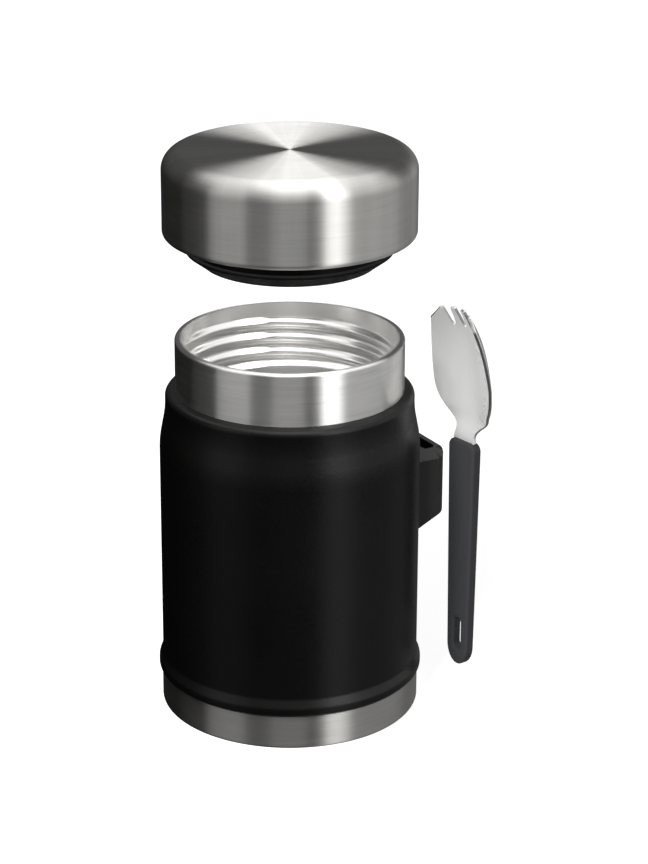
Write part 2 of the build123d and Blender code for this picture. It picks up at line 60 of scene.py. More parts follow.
MM = 0.001
UV_NAME = "turned"          # U once round the axis, V in metres along the section


# ---- Places read from the frame ----
def foot(node):
    """Height of a node's lowest point."""
    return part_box(node)[0].z


def top(node):
    """Height of a node's highest point."""
    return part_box(node)[1].z


def reach(node):
    """Outer radius of a node that is round about the jar's axis."""
    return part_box(node)[1].x


# ---- Settings that a user would change ----
def size(name, millimetres, description):
    return FloatProperty(
        name=name, description=description, default=millimetres * MM, min=0.0, unit="LENGTH",
        subtype="DISTANCE", precision=5,
    )


def turn(name, degrees_default, description):
    return FloatProperty(
        name=name, description=description, default=radians(degrees_default), unit="ROTATION",
        subtype="ANGLE",
    )


def level(name, default, description):
    return FloatProperty(name=name, description=description, default=default, min=0.0)


def colour(name, default, description):
    return FloatVectorProperty(
        name=name, description=description, default=default, min=0.0, max=1.0, size=3, subtype="COLOR"
    )


class JarSizes(bpy.types.PropertyGroup):
    """Sizes of the jar's visible sheet metal."""

    body_radius: size("Body radius", 45.8, "Radius of the painted body")
    wall: size("Wall", 0.6, "Thickness of the outer sheets")
    bead_proud: size("Bead proud", 1.35, "How far the rolled bead stands outside the body")
    bead_flat: size("Bead flat", 2.9, "Straight part of the bead")
    bead_slope: size("Bead slope", 3.0, "Height over which the bead runs back into the body")
    bead_bend: size("Bead bend", 1.0, "Bend under the bead")
    bead_top_bend: size("Bead top bend", 2.8, "Bends over the bead")
    tuck_bend: size("Tuck bend", 0.4, "Bend where the body tucks into the base cup")
    shoulder_height: size("Shoulder height", 99.3, "Height where the body starts to taper")
    shoulder_rise: size("Shoulder rise", 11.1, "Height of the taper")
    shoulder_drop: size("Shoulder drop", 2.15, "Radius that the taper takes off")
    shoulder_bend: size("Shoulder bend", 30.0, "Bends at both ends of the taper")
    lip_drop: size("Lip drop", 0.8, "Fall of the painted lip from the neck to its edge")
    lip_bend: size("Lip bend", 2.2, "Bend at the edge of the lip")
    rim_bend: size("Rim bend", 0.9, "Bend at the neck's rim")
    base_proud: size("Base proud", 0.25, "How far the base cup stands outside the body")
    foot_width: size("Foot width", 6.5, "Width of the ring that the jar stands on")
    foot_bend: size("Foot bend", 1.0, "Bend round the foot")
    foot_recess: size("Foot recess", 2.0, "How far the middle of the base is raised")
    recess_bend: size("Recess bend", 1.0, "Bends of the raised middle")
    press_gap: size("Press gap", 0.05, "Gap between sheets that are pressed together")


class LinerSizes(bpy.types.PropertyGroup):
    """Sizes of the inner liner and its rolled thread."""

    wall: size("Wall", 0.5, "Thickness of the liner's sheet")
    bore: size("Bore", 37.8, "Radius inside the neck")
    ledge_depth: size("Ledge depth", 22.0, "From the rim down to the ledge")
    ledge_slope: size("Ledge slope", 1.6, "Height of the slope from the bore to the throat")
    throat: size("Throat", 36.2, "Radius of the throat under the ledge")
    throat_length: size("Throat length", 8.0, "Straight part of the throat")
    throat_flare: size("Throat flare", 3.0, "Height over which the throat opens into the vessel")
    vessel: size("Vessel", 38.4, "Radius inside the vessel")
    vessel_bend: size("Vessel bend", 9.0, "Bend round the vessel's floor")
    bend: size("Bend", 1.0, "The liner's other bends")
    lead: size("Thread lead", 5.55, "How far the thread climbs in one turn")
    rib_height: size("Rib height", 1.15, "How far the rolled rib stands into the bore")
    rib_base: size("Rib base", 4.8, "Width of the rolled rib at the wall")
    rib_depth: size("Rib depth", 6.4, "From the rim down to the middle of the rib's upper end")
    rib_turns: FloatProperty(name="Rib turns", description="Turns of the rolled rib", default=2.5, min=0.0)
    rib_end: turn("Rib end", 153.0, "Direction of the rib's upper end")
    fade: turn("Fade", 40.0, "Angle over which each end of the rib sinks into the wall")


class LidSizes(bpy.types.PropertyGroup):
    """Sizes of the lid's shell, plug and seal."""

    wall: size("Wall", 0.6, "Thickness of the lid's sheet")
    crown_bend: size("Crown bend", 6.5, "Rounding round the crown")
    hem_bend: size("Hem bend", 2.0, "Rounding of the hem")
    hem_width: size("Hem width", 2.8, "Width of the hem that turns in under the lid")
    plug_wall: size("Plug wall", 1.6, "Wall of the plug")
    plug_radius: size("Plug radius", 36.25, "Radius of the plug's threaded part")
    flange: size("Flange", 1.8, "Thickness of the flange that fills the shell")
    nose_lip: size("Nose lip", 0.6, "Height of the thin lip under the seal")
    nose_lip_radius: size("Nose lip radius", 30.4, "Radius of that lip")
    nose_radius: size("Nose radius", 28.8, "Radius of the groove behind the seal")
    nose_shoulder: size("Nose shoulder", 34.4, "Radius of the plug above the seal")
    edge_bend: size("Edge bend", 0.2, "Rounding of the plug's moulded edges")
    rib_height: size("Rib height", 1.15, "How far the plug's rib stands out")
    rib_base: size("Rib base", 2.6, "Width of the plug's rib at the wall")
    rib_turns: FloatProperty(name="Rib turns", description="Turns of the plug's rib", default=1.3, min=0.0)
    seal_foot: size("Seal foot", 31.0, "The seal widens from this radius at its foot")
    seal_taper: size("Seal taper", 3.6, "Height over which the seal widens")
    seal_bend: size("Seal bend", 0.35, "Rounding of the seal's outer edges")


class SporkSizes(bpy.types.PropertyGroup):
    """Sizes of the spork, and where it stands."""

    handle_length: size("Handle length", 86.5, "Length of the handle")
    head_length: size("Head length", 49.6, "Length of the steel head")
    head_width: size("Head width", 29.4, "Width of the bowl")
    neck_width: size("Neck width", 10.0, "Narrowest width of the head")
    root_width: size("Root width", 11.2, "Width where the steel leaves the handle")
    bowl_depth: size("Bowl depth", 4.0, "Depth of the bowl")
    bowl_bend: size("Bowl bend", 21.6, "Radius of the curve across the bowl")
    tine_bend: size("Tine bend", 14.0, "Radius of the curve across the tines")
    flat_bend: size("Flat bend", 300.0, "Radius of the curve across the root, which is nearly flat")
    sheet: size("Sheet", 1.2, "Thickness of the steel")
    tang_length: size("Tang length", 22.0, "How far the steel reaches into the handle")
    tang_width: size("Tang width", 8.0, "Width of the steel inside the handle")
    tang_sheet: size("Tang sheet", 1.1, "Thickness of the steel inside the handle")
    tine_pitch: size("Tine pitch", 5.0, "From one slot between tines to the next")
    tine_length: size("Tine length", 6.6, "Length of the inner tines")
    slot_root: size("Tine slot root", 1.6, "Width of a slot between tines at its root")
    slot_mouth: size("Tine slot mouth", 2.9, "Width of a slot between tines at the tips")
    tips_width: size("Tips width", 15.4, "Width across the outer tines' tips")
    crown_width: size("Crown width", 7.2, "Width across the inner tines' level tips")
    outer_drop: size("Outer drop", 0.9, "The outer tips lie this far under the inner ones")
    shoulder_width: size("Shoulder width", 22.9, "Width across the outer tines' shoulders")
    shoulder_drop: size("Shoulder drop", 5.4, "From the inner tips down to the shoulders")
    place_x: size("Place X", 53.9, "Where the spork's axis stands, towards the sleeve")
    place_y: FloatProperty(
        name="Place Y", description="Where the spork's axis stands, to the side", default=-29.9 * MM,
        unit="LENGTH", subtype="DISTANCE", precision=5,
    )
    turn: turn("Turn", 9.0, "Turn of the spork from its stowed direction")


class Finishes(bpy.types.PropertyGroup):
    """Colours of the finishes."""

    steel: colour("Brushed steel", (0.56, 0.555, 0.535), "Bare brushed steel of the lid")
    # Lighter than the lid's and the base's brushed steel: painted light on the neck.
    neck: colour("Neck steel", (0.77, 0.765, 0.745), "Bare brushed steel of the neck")
    # Darker than the lid's and the neck's brushed steel: painted shade on the base.
    base: colour("Base steel", (0.385, 0.38, 0.365), "Bare brushed steel of the base")
    # Lighter than the steel itself: painted light inside the jar.
    liner: colour("Liner steel", (0.92, 0.915, 0.90), "Satin steel inside the jar")
    spork: colour("Spork steel", (0.73, 0.73, 0.725), "Pressed steel of the spork")
    # Darker than the spork's face: painted shade on the sheet's edge.
    spork_edge_painted_shade: colour("Spork edge", (0.52, 0.52, 0.515), "Blanked edge of the spork's steel")
    paint: colour("Powder coat", (0.0011, 0.00105, 0.001), "Matt paint of the body")
    plug: colour("Plug plastic", (0.002, 0.002, 0.002), "Plug of the lid")
    sleeve: colour("Sleeve plastic", (0.013, 0.0128, 0.0122), "Sleeve on the side")
    handle: colour("Handle plastic", (0.048, 0.0485, 0.051), "Handle of the spork")
    rubber: colour("Seal rubber", (0.002, 0.002, 0.002), "Seal of the lid")


class Studio(bpy.types.PropertyGroup):
    """Camera, lamp, even light and floor."""

    distance: size("Camera distance", 897.5, "From the jar's axis to the camera, along the floor")
    height: size("Camera height", 445.3, "Height of the camera above the floor")
    azimuth: turn("Camera azimuth", -29.0, "Direction of the camera round the jar")
    pitch: turn("Camera pitch", 21.0, "How far the camera looks down")
    lens: FloatProperty(
        name="Lens", description="Focal length of the camera", default=114.0, min=1.0, unit="CAMERA"
    )
    axis_left: FloatProperty(
        name="Axis left", description="Pixels from the picture's middle to the jar's axis", default=34.2,
        subtype="PIXEL",
    )
    floor_size: size("Floor size", 8000.0, "Side of the square floor")
    fill: level("Fill", 0.24, "Brightness of the soft light from all round")
    key: level("Key lamp", 13.5, "Power of the large lamp in front at the left, in watts")


GROUPS = {
    "jar": JarSizes, "liner": LinerSizes, "lid": LidSizes, "spork": SporkSizes, "finishes": Finishes,
    "studio": Studio,
}


class FoodJarSettings(bpy.types.PropertyGroup):
    """All settings of the food jar."""

    jar: PointerProperty(type=JarSizes)
    liner: PointerProperty(type=LinerSizes)
    lid: PointerProperty(type=LidSizes)
    spork: PointerProperty(type=SporkSizes)
    finishes: PointerProperty(type=Finishes)
    studio: PointerProperty(type=Studio)


# ---- Turned pieces: a section in (radius, height), whose material lies on the left of its line ----
SEGMENTS = 256
ARC_STEP = radians(6.0)
GUARD = 0.25 * MM           # a row this close to each bend keeps the straight parts flat
SHARP = radians(32.0)
STRAIGHT = 1e-4             # a row turned less than this from its neighbour lies on a straight part
ON_AXIS = 1e-7              # a place nearer to the axis than this is a pole
JOINED = 1e-6               # corners of a copied solid nearer than this become one
END_SHARE = 0.02            # extra rows keep this share of a part clear of its two ends


def left_of(direction):
    return Vector((-direction.y, direction.x))


def rounded_line(points, bends):
    """Places and directions along a line through the points, its corners rounded by arcs."""
    points = [Vector(p) for p in points]
    if isinstance(bends, float):
        bends = [bends] * (len(points) - 2)
    line = [(points[0], (points[1] - points[0]).normalized())]
    for before, corner, after, bend in zip(points, points[1:], points[2:], bends):
        enter = (corner - before).normalized()
        leave = (after - corner).normalized()
        turned_by = -enter.angle_signed(leave)
        side = 1 if turned_by > 0 else -1
        start = corner - enter * bend * tan(abs(turned_by) / 2)
        centre = start + left_of(enter) * bend * side
        steps = max(1, ceil(abs(turned_by) / ARC_STEP))
        for index in range(steps + 1):
            direction = Matrix.Rotation(turned_by * index / steps, 2) @ enter
            line.append((centre - left_of(direction) * bend * side, direction))
    line.append((points[-1], (points[-1] - points[-2]).normalized()))
    return guarded(line)


def guarded(line):
    """The same line with rows close to both ends of its long straight parts."""
    result = [line[0]]
    for (place, _), (after, heading) in zip(line, line[1:]):
        step = after - place
        if step.length > 4 * GUARD and abs(step.normalized().cross(heading)) < STRAIGHT:
            result.append((place + step.normalized() * GUARD, heading))
            result.append((after - step.normalized() * GUARD, heading))
        result.append((after, heading))
    return result


def divided(line, low, high, rows):
    """The same line with extra rows between two heights, for a thread to be rolled into."""
    result = [line[0]]
    for (place, _), (after, heading) in zip(line, line[1:]):
        span = after.y - place.y
        if abs(span) > GUARD:
            cuts = [low + (high - low) * i / rows for i in range(rows + 1)]
            shares = sorted((cut - place.y) / span for cut in cuts)
            result += [(place.lerp(after, s), heading) for s in shares if END_SHARE < s < 1 - END_SHARE]
        result.append((after, heading))
    return result


def sheet_section(line, wall):
    """The closed section of a sheet: the line, and back along its other side."""
    there = [place for place, _ in line]
    back = [place + left_of(heading) * wall for place, heading in line]
    return there + back[::-1]


def turned_mesh(name, section):
    """The closed mesh that a section makes round the Z axis, with its UV map."""
    on_axis = [place.x < ON_AXIS for place in section]
    mesh_points, rings = [], []
    for place, pole in zip(section, on_axis):
        rings.append(len(mesh_points))
        for j in range(1 if pole else SEGMENTS):
            angle = 2 * pi * j / SEGMENTS
            mesh_points.append((place.x * cos(angle), place.x * sin(angle), place.y))
    faces, uvs = [], []
    run = 0.0
    count = len(section)
    for i in range(count):
        k = (i + 1) % count
        length = (section[k] - section[i]).length
        if not (on_axis[i] and on_axis[k]):
            for j in range(SEGMENTS):
                m = (j + 1) % SEGMENTS
                corners = [(i, j, j), (i, m, j + 1), (k, m, j + 1), (k, j, j)]
                if on_axis[i]:
                    corners = [(i, 0, j + 0.5), *corners[2:]]
                elif on_axis[k]:
                    corners = [*corners[:2], (k, 0, j + 0.5)]
                faces.append([rings[row] + column for row, column, _ in corners])
                uvs += [(u / SEGMENTS, run + (length if row == k else 0.0)) for row, _, u in corners]
        run += length
    mesh = bpy.data.meshes.new(name)
    mesh.from_pydata(mesh_points, [], faces)
    layer = mesh.uv_layers.new(name=UV_NAME)
    for loop, uv in zip(layer.data, uvs):
        loop.uv = uv
    return mesh


def shown(name, mesh, material):
    """An object for a mesh, smooth but for its sharp edges."""
    mesh.shade_smooth()
    mesh.set_sharp_from_angle(angle=SHARP)
    mesh.materials.clear()
    mesh.materials.append(material)
    piece = bpy.data.objects.new(name, mesh)
    bpy.context.scene.collection.objects.link(piece)
    return piece


def fit(piece, body, slot, *nodes):
    """The piece moves with a body and stands for some of the solids; the slot is not used."""
    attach(piece, body)
    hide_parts(*nodes)
    return piece


def applied(piece):
    """Turns what the piece's modifiers make into its own plain mesh."""
    evaluated = piece.evaluated_get(bpy.context.evaluated_depsgraph_get())
    mesh = bpy.data.meshes.new_from_object(evaluated)
    piece.modifiers.clear()
    mesh.name = piece.name
    piece.data = mesh
    return piece


def unmirrored(*pieces):
    """Hides pieces from mirrored rays: the open jar mirrors the room and not the lid held over it."""
    for piece in pieces:
        piece.visible_glossy = False


def smooth_copy(name, node, material):
    """A copy of a node's solid with its corners joined, for smooth shading."""
    mesh = frame["nodes"][node].data.copy()
    work = bmesh.new()
    work.from_mesh(mesh)
    bmesh.ops.remove_doubles(work, verts=work.verts, dist=JOINED)
    work.to_mesh(mesh)
    work.free()
    piece = shown(name, mesh, material)
    even = piece.modifiers.new("Even normals", "WEIGHTED_NORMAL")
    even.keep_sharp = True
    return piece


# ---- Node trees ----
NOISE_RANGE = (0.3, 0.7)    # nearly all of a noise's values lie in here


class Graph:
    """Adds nodes to a tree. An input is given a plain value or another node's output."""

    def __init__(self, tree):
        self.tree = tree

    def add(self, kind, inputs=None, **settings):
        node = self.tree.nodes.new(kind)
        for name, value in settings.items():
            setattr(node, name, value)
        for name, value in (inputs or {}).items():
            if isinstance(value, bpy.types.NodeSocket):
                self.tree.links.new(value, node.inputs[name])
            else:
                node.inputs[name].default_value = value
        return node

    def math(self, operation, *values, clamp=False):
        node = self.add("ShaderNodeMath", dict(enumerate(values)), operation=operation, use_clamp=clamp)
        return node.outputs[0]

    def plus(self, a, b):
        return self.math("ADD", a, b)

    def minus(self, a, b):
        return self.math("SUBTRACT", a, b)

    def times(self, a, b):
        return self.math("MULTIPLY", a, b)

    def over(self, a, b):
        return self.math("DIVIDE", a, b)

    def separate(self, vector):
        return self.add("ShaderNodeSeparateXYZ", {0: vector}).outputs

    def combine(self, x, y, z):
        return self.add("ShaderNodeCombineXYZ", {0: x, 1: y, 2: z}).outputs[0]

    def vector(self, operation, *values):
        return self.add("ShaderNodeVectorMath", dict(enumerate(values)), operation=operation).outputs[0]

    def spread(self, value, low, high, to_low=0.0, to_high=1.0, smooth=False):
        """A value from one range taken to another, and held at its ends."""
        node = self.add(
            "ShaderNodeMapRange", {0: value, 1: low, 2: high, 3: to_low, 4: to_high},
            interpolation_type="SMOOTHSTEP" if smooth else "LINEAR",
        )
        return node.outputs[0]

    def noise(self, vector, scale, detail=2.0, roughness=0.5):
        inputs = {"Vector": vector, "Scale": scale, "Detail": detail, "Roughness": roughness}
        return self.add("ShaderNodeTexNoise", inputs).outputs["Fac"]

    def stretched(self, vector, factors, detail=2.0, roughness=0.5, scale=1.0):
        """Noise drawn out along the axes that have the smaller factors."""
        return self.noise(self.vector("MULTIPLY", vector, factors), scale, detail, roughness)

    def vary(self, noise, low, high):
        """A noise's usual range taken to another one."""
        return self.spread(noise, *NOISE_RANGE, low, high)

    def cells(self, vector, scale, **settings):
        return self.add("ShaderNodeTexVoronoi", {"Vector": vector, "Scale": scale}, **settings).outputs

    def tangent(self):
        """The direction round the axis, in which turned steel is brushed."""
        return self.add("ShaderNodeTangent", direction_type="UV_MAP", uv_map=UV_NAME).outputs[0]

    def tint(self, base, amount):
        """A colour made lighter or darker by a factor round 1."""
        node = self.add("ShaderNodeVectorMath", {0: (*base[:3],), "Scale": amount}, operation="SCALE")
        return node.outputs[0]

    def bump(self, height, strength, distance):
        return self.add(
            "ShaderNodeBump", {"Height": height, "Strength": strength, "Distance": distance}
        ).outputs["Normal"]


def finish_material(name, **sockets):
    """A material with one Principled shader, its node graph, and its object coordinates."""
    material = bpy.data.materials.new(name)
    material.use_nodes = True
    graph = Graph(material.node_tree)
    shader = material.node_tree.nodes["Principled BSDF"]
    for socket, value in sockets.items():
        shader.inputs[socket.replace("_", " ").title().replace("Ior", "IOR")].default_value = value
    coordinates = graph.add("ShaderNodeTexCoord").outputs["Object"]

    def link(**outputs):
        for socket, output in outputs.items():
            material.node_tree.links.new(output, shader.inputs[socket.replace("_", " ").title()])

    return material, graph, coordinates, link


def once(maker):
    """Keeps a material that several pieces share."""
    made = {}

    def get(finishes):
        if maker not in made:
            made[maker] = maker(finishes)
        return made[maker]

    return get


# ---- Finishes ----
STROKES_ROUND, STROKES_ACROSS = 38.0, 3600.0    # brush strokes in a metre, along them and across


def brushed(name, base, roughness, rays, grain=0.12):
    """Steel brushed round the axis; rays is the strength of the spun crown's radial streaks."""
    material, graph, coordinates, link = finish_material(
        name, metallic=1.0, anisotropic=1.0, anisotropic_rotation=0.25
    )
    split = graph.separate(coordinates)
    along = graph.separate(graph.add("ShaderNodeUVMap", uv_map=UV_NAME).outputs[0])[1]
    strokes = graph.combine(
        graph.times(split[0], STROKES_ROUND), graph.times(split[1], STROKES_ROUND),
        graph.times(along, STROKES_ACROSS),
    )
    fine = graph.noise(strokes, 1.0, 3.0, 0.62)
    coarse = graph.stretched(strokes, (1.6, 1.6, 0.22))
    direction = graph.vector("NORMALIZE", graph.combine(split[0], split[1], 0.0))
    streaks = graph.noise(direction, 9.0, 5.0, 0.7)
    lines = graph.plus(graph.vary(fine, -0.05, 0.05), graph.vary(coarse, -0.035, 0.035))
    shade = graph.plus(lines, graph.vary(streaks, 1.0 - rays, 1.0 + rays))
    link(
        base_color=graph.tint(base, shade),
        roughness=graph.plus(graph.times(lines, 0.5), roughness),
        normal=graph.bump(fine, grain, 0.02 * MM),
        tangent=graph.tangent(),
    )
    return material


# The same brushed steel as the lid, made lighter: painted light on the neck.
@once
def neck_steel_painted_light(finishes):
    return brushed("neck_steel_painted_light", finishes.neck, 0.31, 0.0, grain=0.06)


# The same brushed steel as the lid, made darker: painted shade on the base.
@once
def base_steel_painted_shade(finishes):
    return brushed("base_steel_painted_shade", finishes.base, 0.36, 0.0)


@once
def lid_steel(finishes):
    return brushed("lid_steel", finishes.steel, 0.36, 0.07)


@once
def liner_steel(finishes):
    """Satin steel with fine rings, brighter than the outside: its light colour is painted light inside the
    jar.
    """
    material, graph, coordinates, link = finish_material(
        "liner_steel", metallic=0.85, anisotropic=0.4, anisotropic_rotation=0.25
    )
    rings = graph.stretched(coordinates, (30.0, 30.0, 2600.0), 2.0, 0.6)
    cloud = graph.noise(coordinates, 60.0, 2.0)
    link(
        base_color=graph.tint(finishes.liner, graph.vary(rings, 0.94, 1.04)),
        roughness=graph.vary(cloud, 0.20, 0.26),
        normal=graph.bump(rings, 0.1, 0.02 * MM),
        tangent=graph.tangent(),
    )
    return material


@once
def powder_coat(finishes):
    """Matt black powder coat: an even orange peel of fine grains, some a little glossier than others."""
    material, graph, coordinates, link = finish_material("powder_coat", specular_ior_level=0.27, ior=1.5)
    grains = graph.cells(coordinates, 2300.0)
    peel = graph.noise(coordinates, 1500.0, 3.0, 0.6)
    wear = graph.noise(coordinates, 28.0, 3.0, 0.55)
    height = graph.minus(peel, graph.times(grains["Distance"], 0.6))
    grain_tone = graph.add("ShaderNodeSeparateColor", {0: grains["Color"]}).outputs[0]
    link(
        base_color=graph.tint(finishes.paint, graph.vary(wear, 0.85, 1.15)),
        roughness=graph.plus(graph.spread(grain_tone, 0.0, 1.0, 0.30, 0.40), graph.vary(wear, -0.02, 0.03)),
        normal=graph.bump(height, 0.5, 0.055 * MM),
    )
    return material


def moulded(name, base, roughness, grain, depth, specular=0.5):
    """Moulded plastic with a fine spark-eroded grain; depth is the grain's height in metres."""
    material, graph, coordinates, link = finish_material(name, ior=1.49, specular_ior_level=specular)
    fine = graph.noise(coordinates, grain, 3.0, 0.6)
    flow = graph.stretched(coordinates, (1.0, 1.0, 0.35), scale=45.0)
    link(
        base_color=graph.tint(base, graph.vary(flow, 0.93, 1.07)),
        roughness=graph.plus(graph.vary(fine, -0.04, 0.04), graph.vary(flow, roughness, roughness + 0.05)),
        normal=graph.bump(fine, 0.35, depth),
    )
    return material


@once
def sleeve_plastic(finishes):
    return moulded("sleeve_plastic", finishes.sleeve, 0.50, 2100.0, 0.03 * MM, specular=0.4)


@once
def plug_plastic(finishes):
    return moulded("plug_plastic", finishes.plug, 0.34, 900.0, 0.008 * MM, specular=0.1)


@once
def handle_plastic(finishes):
    return moulded("handle_plastic", finishes.handle, 0.52, 1900.0, 0.02 * MM, specular=0.04)


@once
def seal_rubber(finishes):
    """Silicone with a soft bloom."""
    material, graph, coordinates, link = finish_material("seal_rubber", ior=1.43, specular_ior_level=0.12)
    bloom = graph.noise(coordinates, 130.0, 4.0, 0.6)
    fine = graph.noise(coordinates, 2400.0, 2.0)
    link(
        base_color=graph.tint(finishes.rubber, graph.vary(bloom, 0.9, 1.25)),
        roughness=graph.vary(bloom, 0.55, 0.66),
        normal=graph.bump(fine, 0.3, 0.01 * MM),
    )
    return material


@once
def spork_steel(finishes):
    """Tumbled satin steel: nearly even, with faint lengthwise polishing marks."""
    material, graph, coordinates, link = finish_material("spork_steel", metallic=0.25, ior=1.6)
    marks = graph.stretched(coordinates, (1500.0, 1500.0, 55.0), 2.0, 0.6)
    cloud = graph.noise(coordinates, 70.0, 3.0, 0.5)
    link(
        base_color=graph.tint(
            finishes.spork, graph.plus(graph.vary(marks, -0.012, 0.012), graph.vary(cloud, 0.97, 1.03))
        ),
        roughness=graph.vary(cloud, 0.26, 0.33),
        normal=graph.bump(marks, 0.03, 0.01 * MM),
    )
    return material


@once
def edge_steel_painted_shade(finishes):
    """The blanked edge of sheet steel, with marks across the sheet; its darker colour is painted shade on
    the edge.
    """
    material, graph, coordinates, link = finish_material("edge_steel_painted_shade", metallic=1.0)
    marks = graph.stretched(coordinates, (90.0, 90.0, 2200.0), 2.0, 0.6)
    link(
        base_color=graph.tint(finishes.spork_edge_painted_shade, graph.vary(marks, 0.85, 1.15)),
        roughness=graph.vary(marks, 0.32, 0.42),
        normal=graph.bump(marks, 0.1, 0.01 * MM),
    )
    return material


@once
def plain_steel(finishes):
    """Mill finish with rolling marks and a few clouds."""
    material, graph, coordinates, link = finish_material("plain_steel", metallic=1.0)
    rolled = graph.stretched(coordinates, (1800.0, 70.0, 70.0), 3.0, 0.6)
    cloud = graph.noise(coordinates, 90.0, 4.0, 0.6)
    link(
        base_color=graph.tint(finishes.steel, graph.vary(cloud, 0.82, 1.02)),
        roughness=graph.vary(rolled, 0.30, 0.46),
        normal=graph.bump(rolled, 0.2, 0.01 * MM),
    )
    return material


@once
def foil(finishes):
    """Bright foil with the creases of being wrapped by hand."""
    material, graph, coordinates, link = finish_material("foil", metallic=1.0)
    creases = graph.cells(coordinates, 140.0, feature="DISTANCE_TO_EDGE")["Distance"]
    soft = graph.noise(coordinates, 220.0, 3.0, 0.6)
    link(
        base_color=graph.tint((0.86, 0.86, 0.86), graph.vary(soft, 0.9, 1.05)),
        roughness=graph.vary(soft, 0.12, 0.25),
        normal=graph.bump(graph.math("MINIMUM", creases, 0.12), 0.6, 0.6 * MM),
    )
    return material


@once
def sealing_glass(finishes):
    """Fused sealing glass with small bubbles."""
    material, graph, coordinates, link = finish_material(
        "sealing_glass", ior=1.55, transmission_weight=0.5
    )
    bubbles = graph.cells(coordinates, 1300.0)["Distance"]
    flow = graph.noise(coordinates, 320.0, 3.0, 0.5)
    link(
        base_color=graph.tint((0.42, 0.33, 0.2), graph.vary(flow, 0.75, 1.2)),
        roughness=graph.vary(flow, 0.08, 0.2),
        normal=graph.bump(graph.math("MINIMUM", bubbles, 0.4), 0.4, 0.1 * MM),
    )
    return material


@once
def getter_metal(finishes):
    """Pressed and fired metal powder."""
    material, graph, coordinates, link = finish_material("getter_metal", metallic=0.7)
    powder = graph.noise(coordinates, 3200.0, 4.0, 0.7)
    patch = graph.noise(coordinates, 400.0, 3.0, 0.6)
    link(
        base_color=graph.tint((0.17, 0.165, 0.16), graph.vary(patch, 0.7, 1.3)),
        roughness=graph.vary(powder, 0.62, 0.85),
        normal=graph.bump(powder, 0.6, 0.06 * MM),
    )
    return material


@once
def foam(finishes):
    """Closed-cell foam."""
    material, graph, coordinates, link = finish_material("foam", ior=1.45, specular_ior_level=0.3)
    cells = graph.cells(coordinates, 1100.0)["Distance"]
    tone = graph.noise(coordinates, 90.0, 3.0, 0.6)
    link(
        base_color=graph.tint((0.80, 0.74, 0.58), graph.vary(tone, 0.88, 1.08)),
        roughness=graph.spread(cells, 0.0, 0.7, 0.75, 0.95),
        normal=graph.bump(cells, 0.7, 0.3 * MM),
    )
    return material


# ---- The rolled thread, in Geometry Nodes ----
THREAD_VALUES = ["Lead", "Height", "Base", "Top", "Turns", "End", "Fade", "Inner Limit"]
LINER_THREAD_ROWS, PLUG_THREAD_ROWS = 60, 40    # rows of the wall that the thread is rolled into


def thread_tree():
    """Pushes a turned wall in or out along a right-hand helix, as a rolled thread does."""
    tree = bpy.data.node_groups.new("Rolled Thread", "GeometryNodeTree")
    tree.interface.new_socket("Geometry", in_out="INPUT", socket_type="NodeSocketGeometry")
    for name in THREAD_VALUES:
        tree.interface.new_socket(name, in_out="INPUT", socket_type="NodeSocketFloat")
    tree.interface.new_socket("Material", in_out="INPUT", socket_type="NodeSocketMaterial")
    tree.interface.new_socket("Geometry", in_out="OUTPUT", socket_type="NodeSocketGeometry")
    graph = Graph(tree)
    given = graph.add("NodeGroupInput").outputs
    x, y, z = graph.separate(graph.add("GeometryNodeInputPosition").outputs[0])
    radius = graph.math("SQRT", graph.plus(graph.times(x, x), graph.times(y, y)))
    # Turns down from the rib's upper end, by direction and by the nearest whole turn in height
    angle = graph.math("ARCTAN2", y, x)
    part = graph.over(graph.minus(given["End"], angle), 2 * pi)
    by_height = graph.over(graph.minus(given["Top"], z), given["Lead"])
    whole = graph.math("ROUND", graph.minus(by_height, part))
    turns = graph.plus(part, whole)
    offset = graph.times(graph.minus(by_height, turns), given["Lead"])
    near = graph.over(graph.math("ABSOLUTE", offset), graph.times(given["Base"], 0.5))
    ridge = graph.math("COSINE", graph.times(graph.math("MINIMUM", near, 1.0), pi))
    ridge = graph.math("MULTIPLY_ADD", ridge, 0.5, 0.5)
    to_end = graph.math("MINIMUM", turns, graph.minus(given["Turns"], turns))
    fade = graph.math("DIVIDE", graph.times(to_end, 2 * pi), given["Fade"], clamp=True)
    fade = graph.spread(fade, 0.0, 1.0, smooth=True)
    outside = graph.math("GREATER_THAN", radius, given["Inner Limit"])
    push = graph.times(graph.times(ridge, fade), graph.times(outside, given["Height"]))
    ratio = graph.over(push, graph.math("MAXIMUM", radius, MM))
    shift = graph.combine(graph.times(x, ratio), graph.times(y, ratio), 0.0)
    inputs = {"Geometry": given["Geometry"], "Offset": shift}
    moved = graph.add("GeometryNodeSetPosition", inputs).outputs[0]
    real = graph.add("GeometryNodeRealizeInstances", {"Geometry": moved}).outputs[0]
    inputs = {"Geometry": real, "Material": given["Material"]}
    done = graph.add("GeometryNodeSetMaterial", inputs).outputs[0]
    graph.add("NodeGroupOutput", {0: done})
    return tree


def roll_thread(piece, **values):
    """Rolls a thread into the piece and keeps the result as its plain mesh."""
    tree = bpy.data.node_groups.get("Rolled Thread") or thread_tree()
    modifier = piece.modifiers.new("Rolled Thread", "NODES")
    modifier.node_group = tree
    sockets = {item.name: item.identifier for item in tree.interface.items_tree if item.in_out == "INPUT"}
    for name, value in values.items():
        modifier[sockets[name.replace("_", " ").title()]] = value
    applied(piece)
    piece.data.shade_smooth()
    piece.data.set_sharp_from_angle(angle=SHARP)
    return piece


def spun_sheet(name, points, bends, wall, material, body, slot, node):
    """A piece turned from sheet along a line of points, which stands for one solid."""
    mesh = turned_mesh(name, sheet_section(rounded_line(points, bends), wall))
    return fit(shown(name, mesh, material), body, slot, node)


